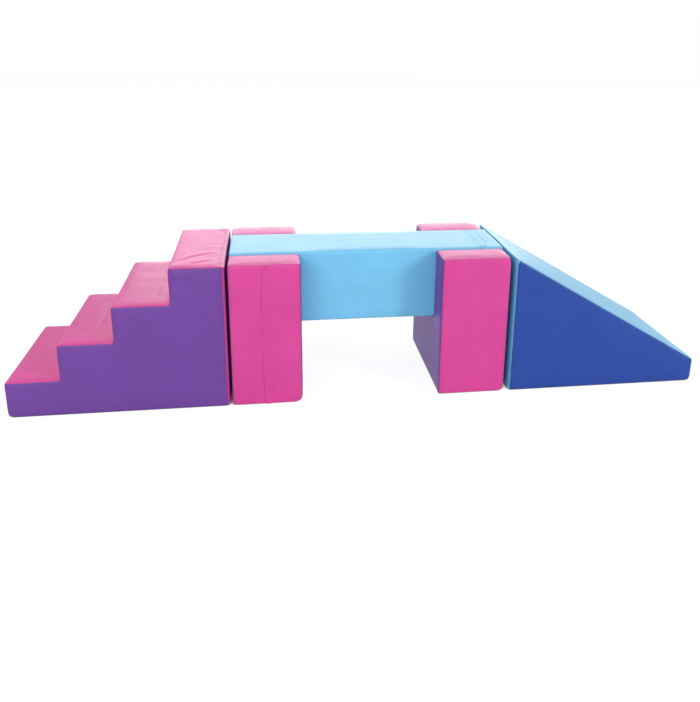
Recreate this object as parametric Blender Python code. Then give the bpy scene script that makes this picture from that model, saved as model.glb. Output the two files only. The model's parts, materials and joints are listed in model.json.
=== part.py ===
"""Soft play foam climber: stairs, two notched posts, a beam between them and a ramp.

Every module is a foam core in a sewn cover. A module's outline is drawn in an upright
plane, anticlockwise from its bottom edge, and its span is the way across that plane.
"""
import math

import bmesh
import bpy
from mathutils import Matrix, Vector

# Stairs
STEP_COUNT = 4
STEP_RISE = 0.150
TREAD_DEPTH = 0.215

# Posts, which stand as high as the top step
MODULE_DEPTH = 0.600
POST_LENGTH = 0.285
POST_SPAN = 0.580
ARM_DEPTH = 0.150
NOTCH_HEIGHT = 0.300

# Beam, which fills both notches
BEAM_PROUD = 0.008
NOTCH_CLEARANCE = 0.0005

# Ramp
RAMP_LENGTH = 0.850
TOE_HEIGHT = 0.105

# Gaps between modules that stand side by side
STAIRS_GAP = 0.015
RAMP_GAP = 0.025

# Covers and foam
VINYL = 0.0010
EDGE_RADIUS = 0.012
LEAST_CORNER_RADIUS = 0.002
SEAM_PAST_FOLD = 0.002
SEAM_GAP = 0.0003
CLEARANCE = 0.0003
SOLE_PROUD = 0.0003
GLUE_LINE = 0.0003
GLUE_TRIM = 0.0001

# Closing flaps, with a hook tape under the flap and a loop tape on the cover
TAPE_THICKNESS = 0.0008
FLAP_ROOT = 0.0025
FLAP_HEM = 0.0025
FLAP_FLOOR_GAP = 0.003
FLAP_CORNER = 0.004
SLIT_TO_ROOT = 0.010
POST_FLAP_WIDTH = 0.030
POST_SLIT_OFFSET = 0.0065
POST_TAPE_WIDTH = 0.016
BEAM_FLAP_WIDTH = 0.050
BEAM_FLAP_SETBACK = 0.049
BEAM_FLAP_CORNER = 0.040
BEAM_TAPE_WIDTH = 0.025

# Facets of the rounded edges
FACET_DEGREES = 30
EDGE_FACETS = 3
SMOOTH_DEGREES = 50

# Colours as they look on a screen, and the roughness of each kind of surface
PURPLE = (118, 77, 158)
PINK = (224, 100, 166)
SKY = (160, 214, 243)
BLUE = (51, 81, 163)
SOLE = (70, 72, 78)
FOAM = (236, 228, 196)
TAPE = (60, 60, 66)
COATED = 0.45
WOVEN = 0.80
POROUS = 0.95

# Worked out from the sizes above
HEIGHT = STEP_COUNT * STEP_RISE
STAIRS_LENGTH = STEP_COUNT * TREAD_DEPTH
NOTCH_WIDTH = MODULE_DEPTH - 2 * ARM_DEPTH
NOTCH_FLOOR = HEIGHT - NOTCH_HEIGHT
BEAM_LENGTH = POST_SPAN + 2 * POST_LENGTH
BEAM_WIDTH = NOTCH_WIDTH - 2 * NOTCH_CLEARANCE
BEAM_BOTTOM = NOTCH_FLOOR + CLEARANCE
BEAM_TOP = HEIGHT + BEAM_PROUD
FOLD_RADIUS = EDGE_RADIUS + LEAST_CORNER_RADIUS
SKIN = VINYL + CLEARANCE
FLAP_HEIGHT = VINYL + 2 * TAPE_THICKNESS + 3 * CLEARANCE
TOTAL_LENGTH = STAIRS_LENGTH + STAIRS_GAP + BEAM_LENGTH + RAMP_GAP + RAMP_LENGTH
STAIRS_X = -TOTAL_LENGTH / 2
BEAM_X = STAIRS_X + STAIRS_LENGTH + STAIRS_GAP + BEAM_LENGTH / 2
LEFT_POST_X = BEAM_X - (POST_SPAN + POST_LENGTH) / 2
RIGHT_POST_X = BEAM_X + (POST_SPAN + POST_LENGTH) / 2
RAMP_X = BEAM_X + BEAM_LENGTH / 2 + RAMP_GAP


# Outlines

class Outline:
    """A module's outline, as sharp corners. Panels and foam are rounded from it."""

    def __init__(self, corners, half_span, plane_across_x=False):
        self.corners = [Vector(corner) for corner in corners]
        self.half_span = half_span
        self.plane_across_x = plane_across_x

    def place(self, point, span):
        """A point of the outline's plane, moved sideways by span, in the module's frame."""
        if self.plane_across_x:
            return Vector((span, point.x, point.y))
        return Vector((point.x, span, point.y))

    def corner(self, index):
        return self.corners[index % len(self.corners)]

    def length(self, edge):
        return (self.corner(edge + 1) - self.corner(edge)).length

    def along(self, edge):
        return (self.corner(edge + 1) - self.corner(edge)).normalized()

    def inward(self, edge):
        along = self.along(edge)
        return Vector((-along.y, along.x))

    def turn(self, corner):
        """How far the outline turns left at a corner, in radians."""
        before = self.along(corner - 1)
        after = self.along(corner)
        return math.atan2(before.x * after.y - before.y * after.x, before.dot(after))

    def seam(self, corner):
        """How far from a corner its fold has ended and a seam can lie."""
        return FOLD_RADIUS * math.tan(abs(self.turn(corner)) / 2) + SEAM_PAST_FOLD

    def corner_points(self, corner, inset):
        """A corner moved in by inset: an arc where it stands out, else one point."""
        turn = self.turn(corner)
        first = self.inward(corner - 1)
        second = self.inward(corner)
        way_in = (first + second) / (1 + first.dot(second))
        if turn < 0:
            return [self.corner(corner) + way_in * inset]
        centre = self.corner(corner) + way_in * FOLD_RADIUS
        facets = max(1, round(math.degrees(turn) / FACET_DEGREES))
        points = []
        for facet in range(facets + 1):
            outward = Matrix.Rotation(turn * facet / facets, 2) @ -first
            points.append(centre + outward * (FOLD_RADIUS - inset))
        return points

    def ring(self, inset):
        """The whole outline, moved in by inset."""
        points = []
        for corner in range(len(self.corners)):
            points.extend(self.corner_points(corner, inset))
        return points

    def edge_point(self, edge, distance, inset):
        return self.corner(edge) + self.along(edge) * distance + self.inward(edge) * inset

    def strip(self, start, end, inset):
        """Part of the outline, from one (edge, distance) on to another."""
        points = [self.edge_point(*start, inset)]
        for corner in range(start[0] + 1, end[0] + 1):
            points.extend(self.corner_points(corner, inset))
        points.append(self.edge_point(*end, inset))
        return points


def stairs_outline():
    corners = [(0, 0), (STAIRS_LENGTH, 0), (STAIRS_LENGTH, HEIGHT)]
    for step in range(STEP_COUNT, 1, -1):
        corners.append(((step - 1) * TREAD_DEPTH, step * STEP_RISE))
        corners.append(((step - 1) * TREAD_DEPTH, (step - 1) * STEP_RISE))
    corners.append((0, STEP_RISE))
    return Outline(corners, MODULE_DEPTH / 2)


def post_outline():
    outer = MODULE_DEPTH / 2
    inner = NOTCH_WIDTH / 2
    corners = [
        (-outer, 0), (outer, 0), (outer, HEIGHT), (inner, HEIGHT),
        (inner, NOTCH_FLOOR), (-inner, NOTCH_FLOOR), (-inner, HEIGHT), (-outer, HEIGHT),
    ]
    return Outline(corners, POST_LENGTH / 2, plane_across_x=True)


def beam_outline():
    side = BEAM_WIDTH / 2
    corners = [(-side, BEAM_BOTTOM), (side, BEAM_BOTTOM), (side, BEAM_TOP), (-side, BEAM_TOP)]
    return Outline(corners, BEAM_LENGTH / 2, plane_across_x=True)


def ramp_outline():
    corners = [(0, 0), (RAMP_LENGTH, 0), (RAMP_LENGTH, TOE_HEIGHT), (0, HEIGHT)]
    return Outline(corners, MODULE_DEPTH / 2)


# Objects

def linear(value):
    """One colour channel, from its look on a screen to the amount of light."""
    share = value / 255
    if share <= 0.04045:
        return share / 12.92
    return ((share + 0.055) / 1.055) ** 2.4


def add_material(name, colour, roughness):
    material = bpy.data.materials.new(name)
    material.use_nodes = True
    shader = material.node_tree.nodes["Principled BSDF"]
    shader.inputs["Base Color"].default_value = [linear(value) for value in colour] + [1]
    shader.inputs["Roughness"].default_value = roughness
    shader.inputs["Metallic"].default_value = 0
    return material


def add_empty(name, location, parent=None, half_turn=False):
    """An axis that carries a module, or a flap at its hinge."""
    empty = bpy.data.objects.new(name, None)
    bpy.context.collection.objects.link(empty)
    empty.location = location
    empty.parent = parent
    if half_turn:
        empty.rotation_euler.z = math.pi
    return empty


def add_piece(name, solid, colour, roughness, carrier, origin=Vector()):
    """Makes a named object of a closed solid that was drawn in its module's frame."""
    bmesh.ops.translate(solid, vec=-origin, verts=solid.verts)
    bmesh.ops.recalc_face_normals(solid, faces=solid.faces)
    mesh = bpy.data.meshes.new(name)
    solid.to_mesh(mesh)
    solid.free()
    mesh.shade_smooth()
    mesh.set_sharp_from_angle(angle=math.radians(SMOOTH_DEGREES))
    mesh.materials.append(add_material(name, colour, roughness))
    piece = bpy.data.objects.new(name, mesh)
    bpy.context.collection.objects.link(piece)
    piece.parent = carrier
    return piece


# Solids

def closed_by_loops(places):
    """A solid through loops of equal length, closed at the first and last."""
    solid = bmesh.new()
    loops = [[solid.verts.new(place) for place in loop] for loop in places]
    for first, second in zip(loops, loops[1:]):
        for here in range(len(first)):
            after = (here + 1) % len(first)
            solid.faces.new((first[here], first[after], second[after], second[here]))
    solid.faces.new(loops[0])
    solid.faces.new(loops[-1])
    return solid


def rounded_edge(depth):
    """Insets and heights of the rounded side edge, at a depth below the cover's face."""
    radius = EDGE_RADIUS - depth
    steps = []
    for facet in range(EDGE_FACETS + 1):
        angle = math.radians(90) * facet / EDGE_FACETS
        steps.append((EDGE_RADIUS - radius * math.cos(angle), radius * math.sin(angle)))
    return steps


def side_panel(outline, side):
    """A flat panel on one side, turned over the rounded edge as far as its seam."""
    seam = outline.half_span - EDGE_RADIUS
    loops = []
    for inset, height in rounded_edge(0)[::-1] + rounded_edge(VINYL):
        ring = outline.ring(inset)
        loops.append([outline.place(point, side * (seam + height)) for point in ring])
    return closed_by_loops(loops)


def foam_core(outline):
    """Foam that fills the cover, with its edges rounded as the cover's are."""
    seam = outline.half_span - EDGE_RADIUS
    edge = rounded_edge(SKIN)
    steps = [(inset, -seam - height) for inset, height in edge[::-1]]
    steps += [(inset, seam + height) for inset, height in edge]
    loops = []
    for inset, span in steps:
        loops.append([outline.place(point, span) for point in outline.ring(inset)])
    return closed_by_loops(loops)


def cut_foam(solid, axis, level, keep_above):
    """Cuts foam straight through at a level along an axis, and closes the cut."""
    bmesh.ops.recalc_face_normals(solid, faces=solid.faces)
    normal = Vector()
    normal[axis] = 1
    cut = bmesh.ops.bisect_plane(
        solid,
        geom=solid.verts[:] + solid.edges[:] + solid.faces[:],
        dist=GLUE_TRIM / 100,
        plane_co=normal * level,
        plane_no=normal,
        clear_inner=keep_above,
        clear_outer=not keep_above,
    )
    rim = [item for item in cut["geom_cut"] if isinstance(item, bmesh.types.BMEdge)]
    if rim:
        bmesh.ops.edgeloop_fill(solid, edges=rim)
    return solid


def band_panel(outline, start, end, spans, outward=0):
    """A panel one cloth thick that follows the outline, between two spans."""
    solid = bmesh.new()
    rows = []
    for inset, span in ((-outward, 0), (-outward, 1), (VINYL, 1), (VINYL, 0)):
        strip = outline.strip(start, end, inset)
        rows.append([solid.verts.new(outline.place(point, spans[span])) for point in strip])
    for row, beside in zip(rows, rows[1:] + rows[:1]):
        for here in range(len(row) - 1):
            after = here + 1
            solid.faces.new((row[here], row[after], beside[after], beside[here]))
    solid.faces.new([row[0] for row in rows])
    solid.faces.new([row[-1] for row in rows])
    return solid


def full_band(outline):
    """The spans of a panel that reaches from one side panel's seam to the other's."""
    half = outline.half_span - EDGE_RADIUS - SEAM_GAP
    return (-half, half)


def between_seams(start, end):
    """A panel's ends, drawn back so that two panels leave a seam between them."""
    edge, distance = start
    last_edge, last_distance = end
    return (edge, distance + SEAM_GAP / 2), (last_edge, last_distance - SEAM_GAP / 2)


def box_between(corners):
    """A solid from the four corners of its lower face and the four of its upper one."""
    return closed_by_loops([corners[:4], corners[4:]])


# Closing flaps

class Flap:
    """A flap over a slit that runs along one edge of an outline. Its root is sewn down
    on the side that toward names, 1 or -1, and the far edge lies beyond the slit."""

    def __init__(self, outline, edge, ends, slit, toward, width, tape_width, corners):
        self.outline = outline
        self.edge = edge
        self.start, self.end = ends
        self.slit = slit
        self.toward = toward
        self.width = width
        self.tape_width = tape_width
        self.corners = corners

    def place(self, distance, reach, height):
        """A point at a distance along the slit, a reach from the root and a height."""
        span = self.slit + self.toward * (SLIT_TO_ROOT - reach)
        return self.outline.place(self.outline.edge_point(self.edge, distance, -height), span)

    def hinge(self):
        return self.place((self.start + self.end) / 2, 0, FLAP_HEIGHT)

    def free_edge(self):
        """The flap's edge beyond its root, with rounded corners, from end to start."""
        first, last = self.corners
        points = []
        for facet in range(EDGE_FACETS + 1):
            angle = math.radians(90) * facet / EDGE_FACETS
            out = last * (1 - math.cos(angle))
            points.append((self.end - out, self.width - last * (1 - math.sin(angle))))
        for facet in range(EDGE_FACETS + 1):
            angle = math.radians(90) * facet / EDGE_FACETS
            out = first * (1 - math.sin(angle))
            points.append((self.start + out, self.width - first * (1 - math.cos(angle))))
        return points

    def cloth(self):
        """The flap: a flat tongue, with its root folded down to the cover."""
        tongue = [(self.end, FLAP_ROOT)] + self.free_edge() + [(self.start, FLAP_ROOT)]
        top = FLAP_HEIGHT
        solid = bmesh.new()

        def row(points, height):
            return [solid.verts.new(self.place(*point, height)) for point in points]

        root = [(self.start, 0), (self.end, 0)]
        upper_root = row(root, top)
        upper = row(tongue, top)
        lower = row(tongue, top - VINYL)
        foot_outer = row(root, CLEARANCE)
        foot_inner = row([tongue[0], tongue[-1]], CLEARANCE)
        solid.faces.new(upper_root + upper)
        solid.faces.new(lower)
        for here in range(len(upper) - 1):
            after = here + 1
            solid.faces.new((upper[here], upper[after], lower[after], lower[here]))
        solid.faces.new(foot_outer + foot_inner)
        solid.faces.new(upper_root + foot_outer[::-1])
        solid.faces.new((lower[0], lower[-1], foot_inner[1], foot_inner[0]))
        solid.faces.new((upper_root[1], upper[0], lower[0], foot_inner[0], foot_outer[1]))
        solid.faces.new((upper_root[0], upper[-1], lower[-1], foot_inner[1], foot_outer[0]))
        return solid

    def tape(self, bottom):
        """A strip of tape whose lower face lies at a height above the cover."""
        far = self.width - FLAP_HEM
        near = far - self.tape_width
        start = self.start + self.corners[0]
        end = self.end - self.corners[1]
        plan = [(start, near), (end, near), (end, far), (start, far)]
        corners = [self.place(*point, bottom) for point in plan]
        corners += [self.place(*point, bottom + TAPE_THICKNESS) for point in plan]
        return box_between(corners)


def add_flap(module, flap, colour, carrier):
    """The flap on its hinge with the hook tape, and the loop tape on the cover."""
    hinge = flap.hinge()
    axis = add_empty(module + "_flap_hinge", hinge, carrier)
    under_flap = FLAP_HEIGHT - VINYL - CLEARANCE - TAPE_THICKNESS
    add_piece(module + "_closing_flap", flap.cloth(), colour, COATED, axis, hinge)
    add_piece(module + "_hook_tape", flap.tape(under_flap), TAPE, WOVEN, axis, hinge)
    add_piece(module + "_loop_tape", flap.tape(CLEARANCE), TAPE, WOVEN, carrier)


def slit_spans(outline, slit):
    """The spans of the two panels beside a slit, low side first."""
    low, high = full_band(outline)
    return (low, slit - SEAM_GAP / 2), (slit + SEAM_GAP / 2, high)


# Modules

def add_stairs():
    outline = stairs_outline()
    carrier = add_empty("stairs_place", (STAIRS_X, 0, SOLE_PROUD))
    for layer in range(1, STEP_COUNT + 1):
        foam = foam_core(outline)
        if layer > 1:
            bottom = (layer - 1) * STEP_RISE - SKIN - GLUE_TRIM + GLUE_LINE
            cut_foam(foam, 2, bottom, keep_above=True)
        if layer < STEP_COUNT:
            cut_foam(foam, 2, layer * STEP_RISE - SKIN - GLUE_TRIM, keep_above=False)
        add_piece(f"stairs_foam_layer_{layer}", foam, FOAM, POROUS, carrier)
    add_piece("stairs_front_side_cover", side_panel(outline, -1), PURPLE, COATED, carrier)
    add_piece("stairs_rear_side_cover", side_panel(outline, 1), PURPLE, COATED, carrier)

    last_edge = len(outline.corners)
    front_seam = outline.seam(0)
    under_back = (0, outline.length(0) - outline.seam(1))
    over_back = (2, outline.seam(2))
    band = full_band(outline)
    base = band_panel(outline, *between_seams((0, front_seam), under_back), band, SOLE_PROUD)
    steps = band_panel(outline, *between_seams(over_back, (last_edge, front_seam)), band)
    add_piece("stairs_base_cover", base, SOLE, WOVEN, carrier)
    add_piece("stairs_step_cover", steps, PINK, COATED, carrier)

    slit = POST_SLIT_OFFSET
    for side, spans in zip(("front", "rear"), slit_spans(outline, slit)):
        back = band_panel(outline, *between_seams(under_back, over_back), spans)
        add_piece(f"stairs_back_cover_{side}", back, PINK, COATED, carrier)
    ends = (FLAP_FLOOR_GAP, outline.length(1) - FOLD_RADIUS)
    corners = (FLAP_CORNER, FLAP_CORNER)
    flap = Flap(outline, 1, ends, slit, 1, POST_FLAP_WIDTH, POST_TAPE_WIDTH, corners)
    add_flap("stairs", flap, PINK, carrier)


def add_post(name, x, slit_face, plain_face, half_turn):
    """A post. Its slit faces the front, or the rear on a post that is turned round."""
    outline = post_outline()
    carrier = add_empty(name + "_place", (x, 0, SOLE_PROUD), half_turn=half_turn)
    notch = NOTCH_FLOOR - SKIN - GLUE_TRIM
    base_foam = cut_foam(foam_core(outline), 2, notch, keep_above=False)
    add_piece(name + "_foam_base", base_foam, FOAM, POROUS, carrier)
    for face, keep_above in ((slit_face, False), (plain_face, True)):
        arm = cut_foam(foam_core(outline), 2, notch + GLUE_LINE, keep_above=True)
        cut_foam(arm, 1, 0, keep_above)
        add_piece(f"{name}_foam_{face}_arm", arm, FOAM, POROUS, carrier)
    for side, way in (("outer", -1), ("inner", 1)):
        panel = side_panel(outline, way)
        add_piece(f"{name}_{side}_side_cover", panel, PURPLE, COATED, carrier)

    band = full_band(outline)
    under_slit_face = (0, outline.seam(0))
    under_plain_face = (0, outline.length(0) - outline.seam(1))
    over_plain_face = (2, outline.seam(2))
    over_slit_face = (6, outline.length(6) - outline.seam(7))
    whole_round = (8, outline.seam(0))
    ends = between_seams(under_slit_face, under_plain_face)
    base = band_panel(outline, *ends, band, SOLE_PROUD)
    add_piece(name + "_base_cover", base, SOLE, WOVEN, carrier)
    plain = band_panel(outline, *between_seams(under_plain_face, over_plain_face), band)
    add_piece(f"{name}_{plain_face}_cover", plain, PINK, COATED, carrier)
    top = band_panel(outline, *between_seams(over_plain_face, over_slit_face), band)
    add_piece(name + "_top_cover", top, PINK, COATED, carrier)

    slit = POST_SLIT_OFFSET
    for side, spans in zip(("outer", "inner"), slit_spans(outline, slit)):
        half = band_panel(outline, *between_seams(over_slit_face, whole_round), spans)
        add_piece(f"{name}_{slit_face}_cover_{side}", half, PINK, COATED, carrier)
    ends = (FOLD_RADIUS, outline.length(7) - FLAP_FLOOR_GAP)
    corners = (FLAP_CORNER, FLAP_CORNER)
    flap = Flap(outline, 7, ends, slit, 1, POST_FLAP_WIDTH, POST_TAPE_WIDTH, corners)
    add_flap(name, flap, PINK, carrier)


def add_beam():
    outline = beam_outline()
    carrier = add_empty("beam_place", (BEAM_X, 0, SOLE_PROUD))
    add_piece("beam_foam", foam_core(outline), FOAM, POROUS, carrier)
    for end, way in (("stairs", -1), ("ramp", 1)):
        add_piece(f"beam_{end}_end_cover", side_panel(outline, way), SKY, COATED, carrier)
    slit = outline.half_span - BEAM_FLAP_SETBACK - BEAM_FLAP_WIDTH + SLIT_TO_ROOT
    middle = outline.length(0) / 2
    round_beam = between_seams((0, middle), (4, middle))
    for piece, spans in zip(("wrap", "collar"), slit_spans(outline, slit)):
        cover = band_panel(outline, *round_beam, spans)
        add_piece(f"beam_{piece}_cover", cover, SKY, COATED, carrier)
    ends = (FOLD_RADIUS, outline.length(2) - FOLD_RADIUS)
    corners = (FLAP_CORNER, BEAM_FLAP_CORNER)
    flap = Flap(outline, 2, ends, slit, -1, BEAM_FLAP_WIDTH, BEAM_TAPE_WIDTH, corners)
    add_flap("beam", flap, SKY, carrier)


def add_ramp():
    outline = ramp_outline()
    carrier = add_empty("ramp_place", (RAMP_X, 0, SOLE_PROUD))
    add_piece("ramp_foam", foam_core(outline), FOAM, POROUS, carrier)
    add_piece("ramp_front_side_cover", side_panel(outline, -1), BLUE, COATED, carrier)
    add_piece("ramp_rear_side_cover", side_panel(outline, 1), BLUE, COATED, carrier)

    band = full_band(outline)
    under_back = (0, outline.seam(0))
    under_toe = (0, outline.length(0) - outline.seam(1))
    over_back = (2, outline.length(2) - outline.seam(3))
    whole_round = (4, outline.seam(0))
    base = band_panel(outline, *between_seams(under_back, under_toe), band, SOLE_PROUD)
    add_piece("ramp_base_cover", base, SOLE, WOVEN, carrier)
    slope = band_panel(outline, *between_seams(under_toe, over_back), band)
    add_piece("ramp_slope_cover", slope, SKY, COATED, carrier)

    slit = POST_SLIT_OFFSET
    for side, spans in zip(("front", "rear"), slit_spans(outline, slit)):
        back = band_panel(outline, *between_seams(over_back, whole_round), spans)
        add_piece(f"ramp_back_cover_{side}", back, SKY, COATED, carrier)
    ends = (outline.seam(3), outline.length(3) - FLAP_FLOOR_GAP)
    corners = (FLAP_CORNER, FLAP_CORNER)
    flap = Flap(outline, 3, ends, slit, 1, POST_FLAP_WIDTH, POST_TAPE_WIDTH, corners)
    add_flap("ramp", flap, SKY, carrier)


def main():
    for old in list(bpy.data.objects):
        bpy.data.objects.remove(old, do_unlink=True)
    add_stairs()
    add_post("left_post", LEFT_POST_X, "front", "rear", half_turn=False)
    add_post("right_post", RIGHT_POST_X, "rear", "front", half_turn=True)
    add_beam()
    add_ramp()


main()
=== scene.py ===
"""Soft play foam climber: sewn covers, foam blocks, closing flaps and tapes, dressed round
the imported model. Each module's cover starts as one rounded block, swells by cloth
simulation, and is then parted at its seams into the panels that it is sewn from."""

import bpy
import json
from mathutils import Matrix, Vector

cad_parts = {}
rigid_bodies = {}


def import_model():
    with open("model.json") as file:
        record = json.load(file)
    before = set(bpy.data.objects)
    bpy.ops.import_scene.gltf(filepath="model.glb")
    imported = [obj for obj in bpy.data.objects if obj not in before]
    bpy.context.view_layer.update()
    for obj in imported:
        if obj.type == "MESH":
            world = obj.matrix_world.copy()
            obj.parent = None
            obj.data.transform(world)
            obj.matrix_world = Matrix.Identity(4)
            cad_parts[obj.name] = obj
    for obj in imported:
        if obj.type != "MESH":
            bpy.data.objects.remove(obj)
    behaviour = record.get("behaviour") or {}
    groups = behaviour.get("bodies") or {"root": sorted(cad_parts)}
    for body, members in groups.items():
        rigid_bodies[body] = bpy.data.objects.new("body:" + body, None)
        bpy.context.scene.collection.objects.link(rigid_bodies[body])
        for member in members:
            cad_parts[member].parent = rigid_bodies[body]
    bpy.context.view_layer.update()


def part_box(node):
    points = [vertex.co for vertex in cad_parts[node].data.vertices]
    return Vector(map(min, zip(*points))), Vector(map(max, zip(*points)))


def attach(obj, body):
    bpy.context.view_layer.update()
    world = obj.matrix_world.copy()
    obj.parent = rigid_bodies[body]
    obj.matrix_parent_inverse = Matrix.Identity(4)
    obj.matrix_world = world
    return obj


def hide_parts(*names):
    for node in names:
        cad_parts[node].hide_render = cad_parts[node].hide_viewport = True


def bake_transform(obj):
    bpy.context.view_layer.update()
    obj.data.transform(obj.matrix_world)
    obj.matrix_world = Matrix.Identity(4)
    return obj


bl_info = {
    "name": "Foam Climber Covers",
    "version": (1, 0, 0),
    "blender": (4, 5, 0),
    "location": "3D View > Sidebar > Foam Climber",
    "description": "Dresses a foam climber in sewn covers, with foam, flaps and tapes",
    "category": "Object",
}

import json
import math

import bmesh
import bpy
import numpy as np
from bpy.props import (
    FloatProperty, FloatVectorProperty, IntProperty, PointerProperty)
from mathutils import Matrix, Vector, noise
from mathutils.kdtree import KDTree

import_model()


def low(node):
    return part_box(node)[0]


def high(node):
    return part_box(node)[1]


def span(first, last, before=0.0, after=0.0):
    """A module's two corners: the first node's low one and the last node's high one, moved
    out along the climber by what the cover stands proud there."""
    return low(first) - Vector((before, 0, 0)), high(last) + Vector((after, 0, 0))


# Corners of the modules, sharp: where the frame has them, or a few millimetres further out
# where a cover stands proud
FLOOR = low("stairs_base_cover").z
FOOT = low("stairs_front_side_cover").z
TOP = high("stairs_front_side_cover").z
STAIRS = span("stairs_front_side_cover", "stairs_rear_side_cover", after=0.003)
LEFT_POST = span("left_post_outer_side_cover", "left_post_inner_side_cover", before=0.002)
RIGHT_POST = span(
    "right_post_inner_side_cover", "right_post_outer_side_cover", before=0.002, after=0.002)
BEAM = span("beam_stairs_end_cover", "beam_ramp_end_cover", before=0.002, after=0.011)
RAMP = span("ramp_front_side_cover", "ramp_rear_side_cover")
RAMP[1].z = TOP

# Places inside the modules
STEP_COUNT = 4
TREAD = (STAIRS[1].x - STAIRS[0].x) / STEP_COUNT
RISE = (TOP - FOOT) / STEP_COUNT
RISERS_PROUD = (0, 0.007, 0.008, 0)
RISERS = [STAIRS[0].x + step * TREAD - proud for step, proud in enumerate(RISERS_PROUD)]
POSTS_PROUD = 0.003
POST_TOP = TOP + POSTS_PROUD
SKIN = low("beam_foam").x - low("beam_stairs_end_cover").x
NOTCH_SIDE = low("left_post_foam_rear_arm").y - SKIN
NOTCH_FLOOR = high("left_post_foam_base").z + SKIN
NOTCH_CUT = 0.008
TOE = 0.105
SEAM_FROM_CORNER = low("stairs_base_cover").x - STAIRS[0].x
SLOPE_SEAM = low("ramp_slope_cover").x
BACK_SLIT = high("stairs_back_cover_front").y
LEFT_SLIT = high("left_post_front_cover_outer").x
RIGHT_SLIT = low("right_post_rear_cover_outer").x
BEAM_SLIT = low("beam_collar_cover").x

# How the covers are cut and sewn
SEAM_ALLOWANCE = 0.010
SEAM_GAP = 0.0003
FOAM_INSET = 0.003
FOAM_RADIUS = 0.020
SIDE_SEAM = 0.4
BACK_WRAP = 0.009
RAMP_WRAP = 0.004
RAMP_SIDE_SHARE = 0.62

# Shares of twice the edge radius by which edges are rounded
ROUNDEST, ROUND, SHARP = 1, 0.5, 0.2

# How places, edges and faces are told apart
SAME_PLACE = 1e-4
FACING = 0.9
SMOOTH_ANGLE = math.radians(50)
OUTER_EDGE = math.radians(25)


# Settings

def length_setting(name, description, default, least, most):
    return FloatProperty(
        name=name, description=description, default=default, min=least, max=most,
        unit="LENGTH")


def count_setting(name, description, default, least, most):
    return IntProperty(
        name=name, description=description, default=default, min=least, max=most)


def angle_setting(name, description, degrees):
    return FloatProperty(
        name=name, description=description, default=math.radians(degrees), subtype="ANGLE")


def power_setting(name, description, watts):
    return FloatProperty(
        name=name, description=description, default=watts, min=0.0, unit="POWER")


def colour_setting(name, description, default):
    return FloatVectorProperty(
        name=name, description=description, default=default, min=0, max=1, subtype="COLOR")


class ClimberCovers(bpy.types.PropertyGroup):
    """How the covers are made."""

    edge_radius: length_setting(
        "Edge radius", "Radius of the rounded edges", 0.0075, 0.004, 0.03)
    edge_facets: count_setting(
        "Edge facets", "Facets across a rounded edge before smoothing", 2, 2, 6)
    mesh_step: length_setting(
        "Mesh step", "Distance between points of a cover while it swells",
        0.024, 0.012, 0.05)
    smoothing: count_setting(
        "Smoothing", "Times that a swollen cover is smoothed", 2, 1, 3)
    cloth: length_setting(
        "Cloth", "Thickness of the coated cloth", 0.0010, 0.0004, 0.003)
    seam_radius: length_setting(
        "Seam radius", "Radius with which cloth turns into a seam", 0.0013, 0.0005, 0.004)
    seam_depth: length_setting(
        "Seam depth", "How far cloth goes in at a seam", 0.0022, 0.001, 0.01)
    pressure: FloatProperty(
        name="Foam pressure", description="How hard the foam presses on its cover",
        default=4.0, min=0.0, max=20.0)
    swell: length_setting(
        "Swell", "Furthest that a cover swells from its foam", 0.0026, 0.0, 0.02)
    near_swell: length_setting(
        "Swell near a neighbour", "Furthest swell towards another module",
        0.0009, 0.0, 0.005)
    wave_height: length_setting(
        "Wave height", "Height of the broad waves in a cover", 0.0007, 0.0, 0.005)
    pucker_height: length_setting(
        "Pucker height", "Height of the puckers beside a seam", 0.0009, 0.0, 0.005)


class ClimberColours(bpy.types.PropertyGroup):
    """Colours of cloth, foam and tape."""

    purple: colour_setting(
        "Purple", "Side panels of stairs and posts", (0.139, 0.041, 0.300))
    pink: colour_setting(
        "Pink", "Steps, and the fronts and tops of posts", (0.630, 0.046, 0.288))
    sky: colour_setting("Sky", "Beam and slope", (0.165, 0.520, 0.790))
    blue: colour_setting("Blue", "Side panels of the ramp", (0.008, 0.053, 0.326))
    sole: colour_setting("Sole", "Non-slip cloth underneath", (0.055, 0.058, 0.066))
    foam: colour_setting("Foam", "Foam blocks", (0.78, 0.72, 0.50))
    tape: colour_setting("Tape", "Hook and loop tapes", (0.042, 0.042, 0.050))


class ClimberStudio(bpy.types.PropertyGroup):
    """Camera and lights."""

    camera_place: FloatVectorProperty(
        name="Camera place", description="Where the camera stands", subtype="XYZ",
        default=(-0.4081, -3.1587, 1.5112), unit="LENGTH")
    camera_turn: angle_setting("Camera turn", "Turn of the view to the right", 8.8949)
    camera_tilt: angle_setting("Camera tilt", "Tilt of the view, up from level", -16.9474)
    camera_roll: angle_setting("Camera roll", "Roll of the view", 1.0228)
    key_power: power_setting("Key light", "Power of the lamp at the front right", 350.0)
    fill_power: power_setting(
        "Fill light", "Power of the large lamp at the front left", 135.0)
    back_power: power_setting("Back light", "Power of the low, wide lamp far behind", 800.0)
    high_back_power: power_setting(
        "High back light", "Power of the lamp above the back light", 380.0)
    top_power: power_setting("Top light", "Power of the soft lamp above the stairs", 38.0)
    surround: FloatProperty(
        name="Surround", description="Strength of the light from all round",
        default=0.48, min=0.0)


def covers():
    return bpy.context.scene.climber_covers


def colours():
    return bpy.context.scene.climber_colours


def studio():
    return bpy.context.scene.climber_studio


# Modelling

def deselect_all():
    for item in bpy.context.view_layer.objects:
        item.select_set(False)


def make_active(item):
    deselect_all()
    item.select_set(True)
    bpy.context.view_layer.objects.active = item


def edit_mode():
    bpy.ops.object.mode_set(mode="EDIT")


def object_mode():
    bpy.ops.object.mode_set(mode="OBJECT")


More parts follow.
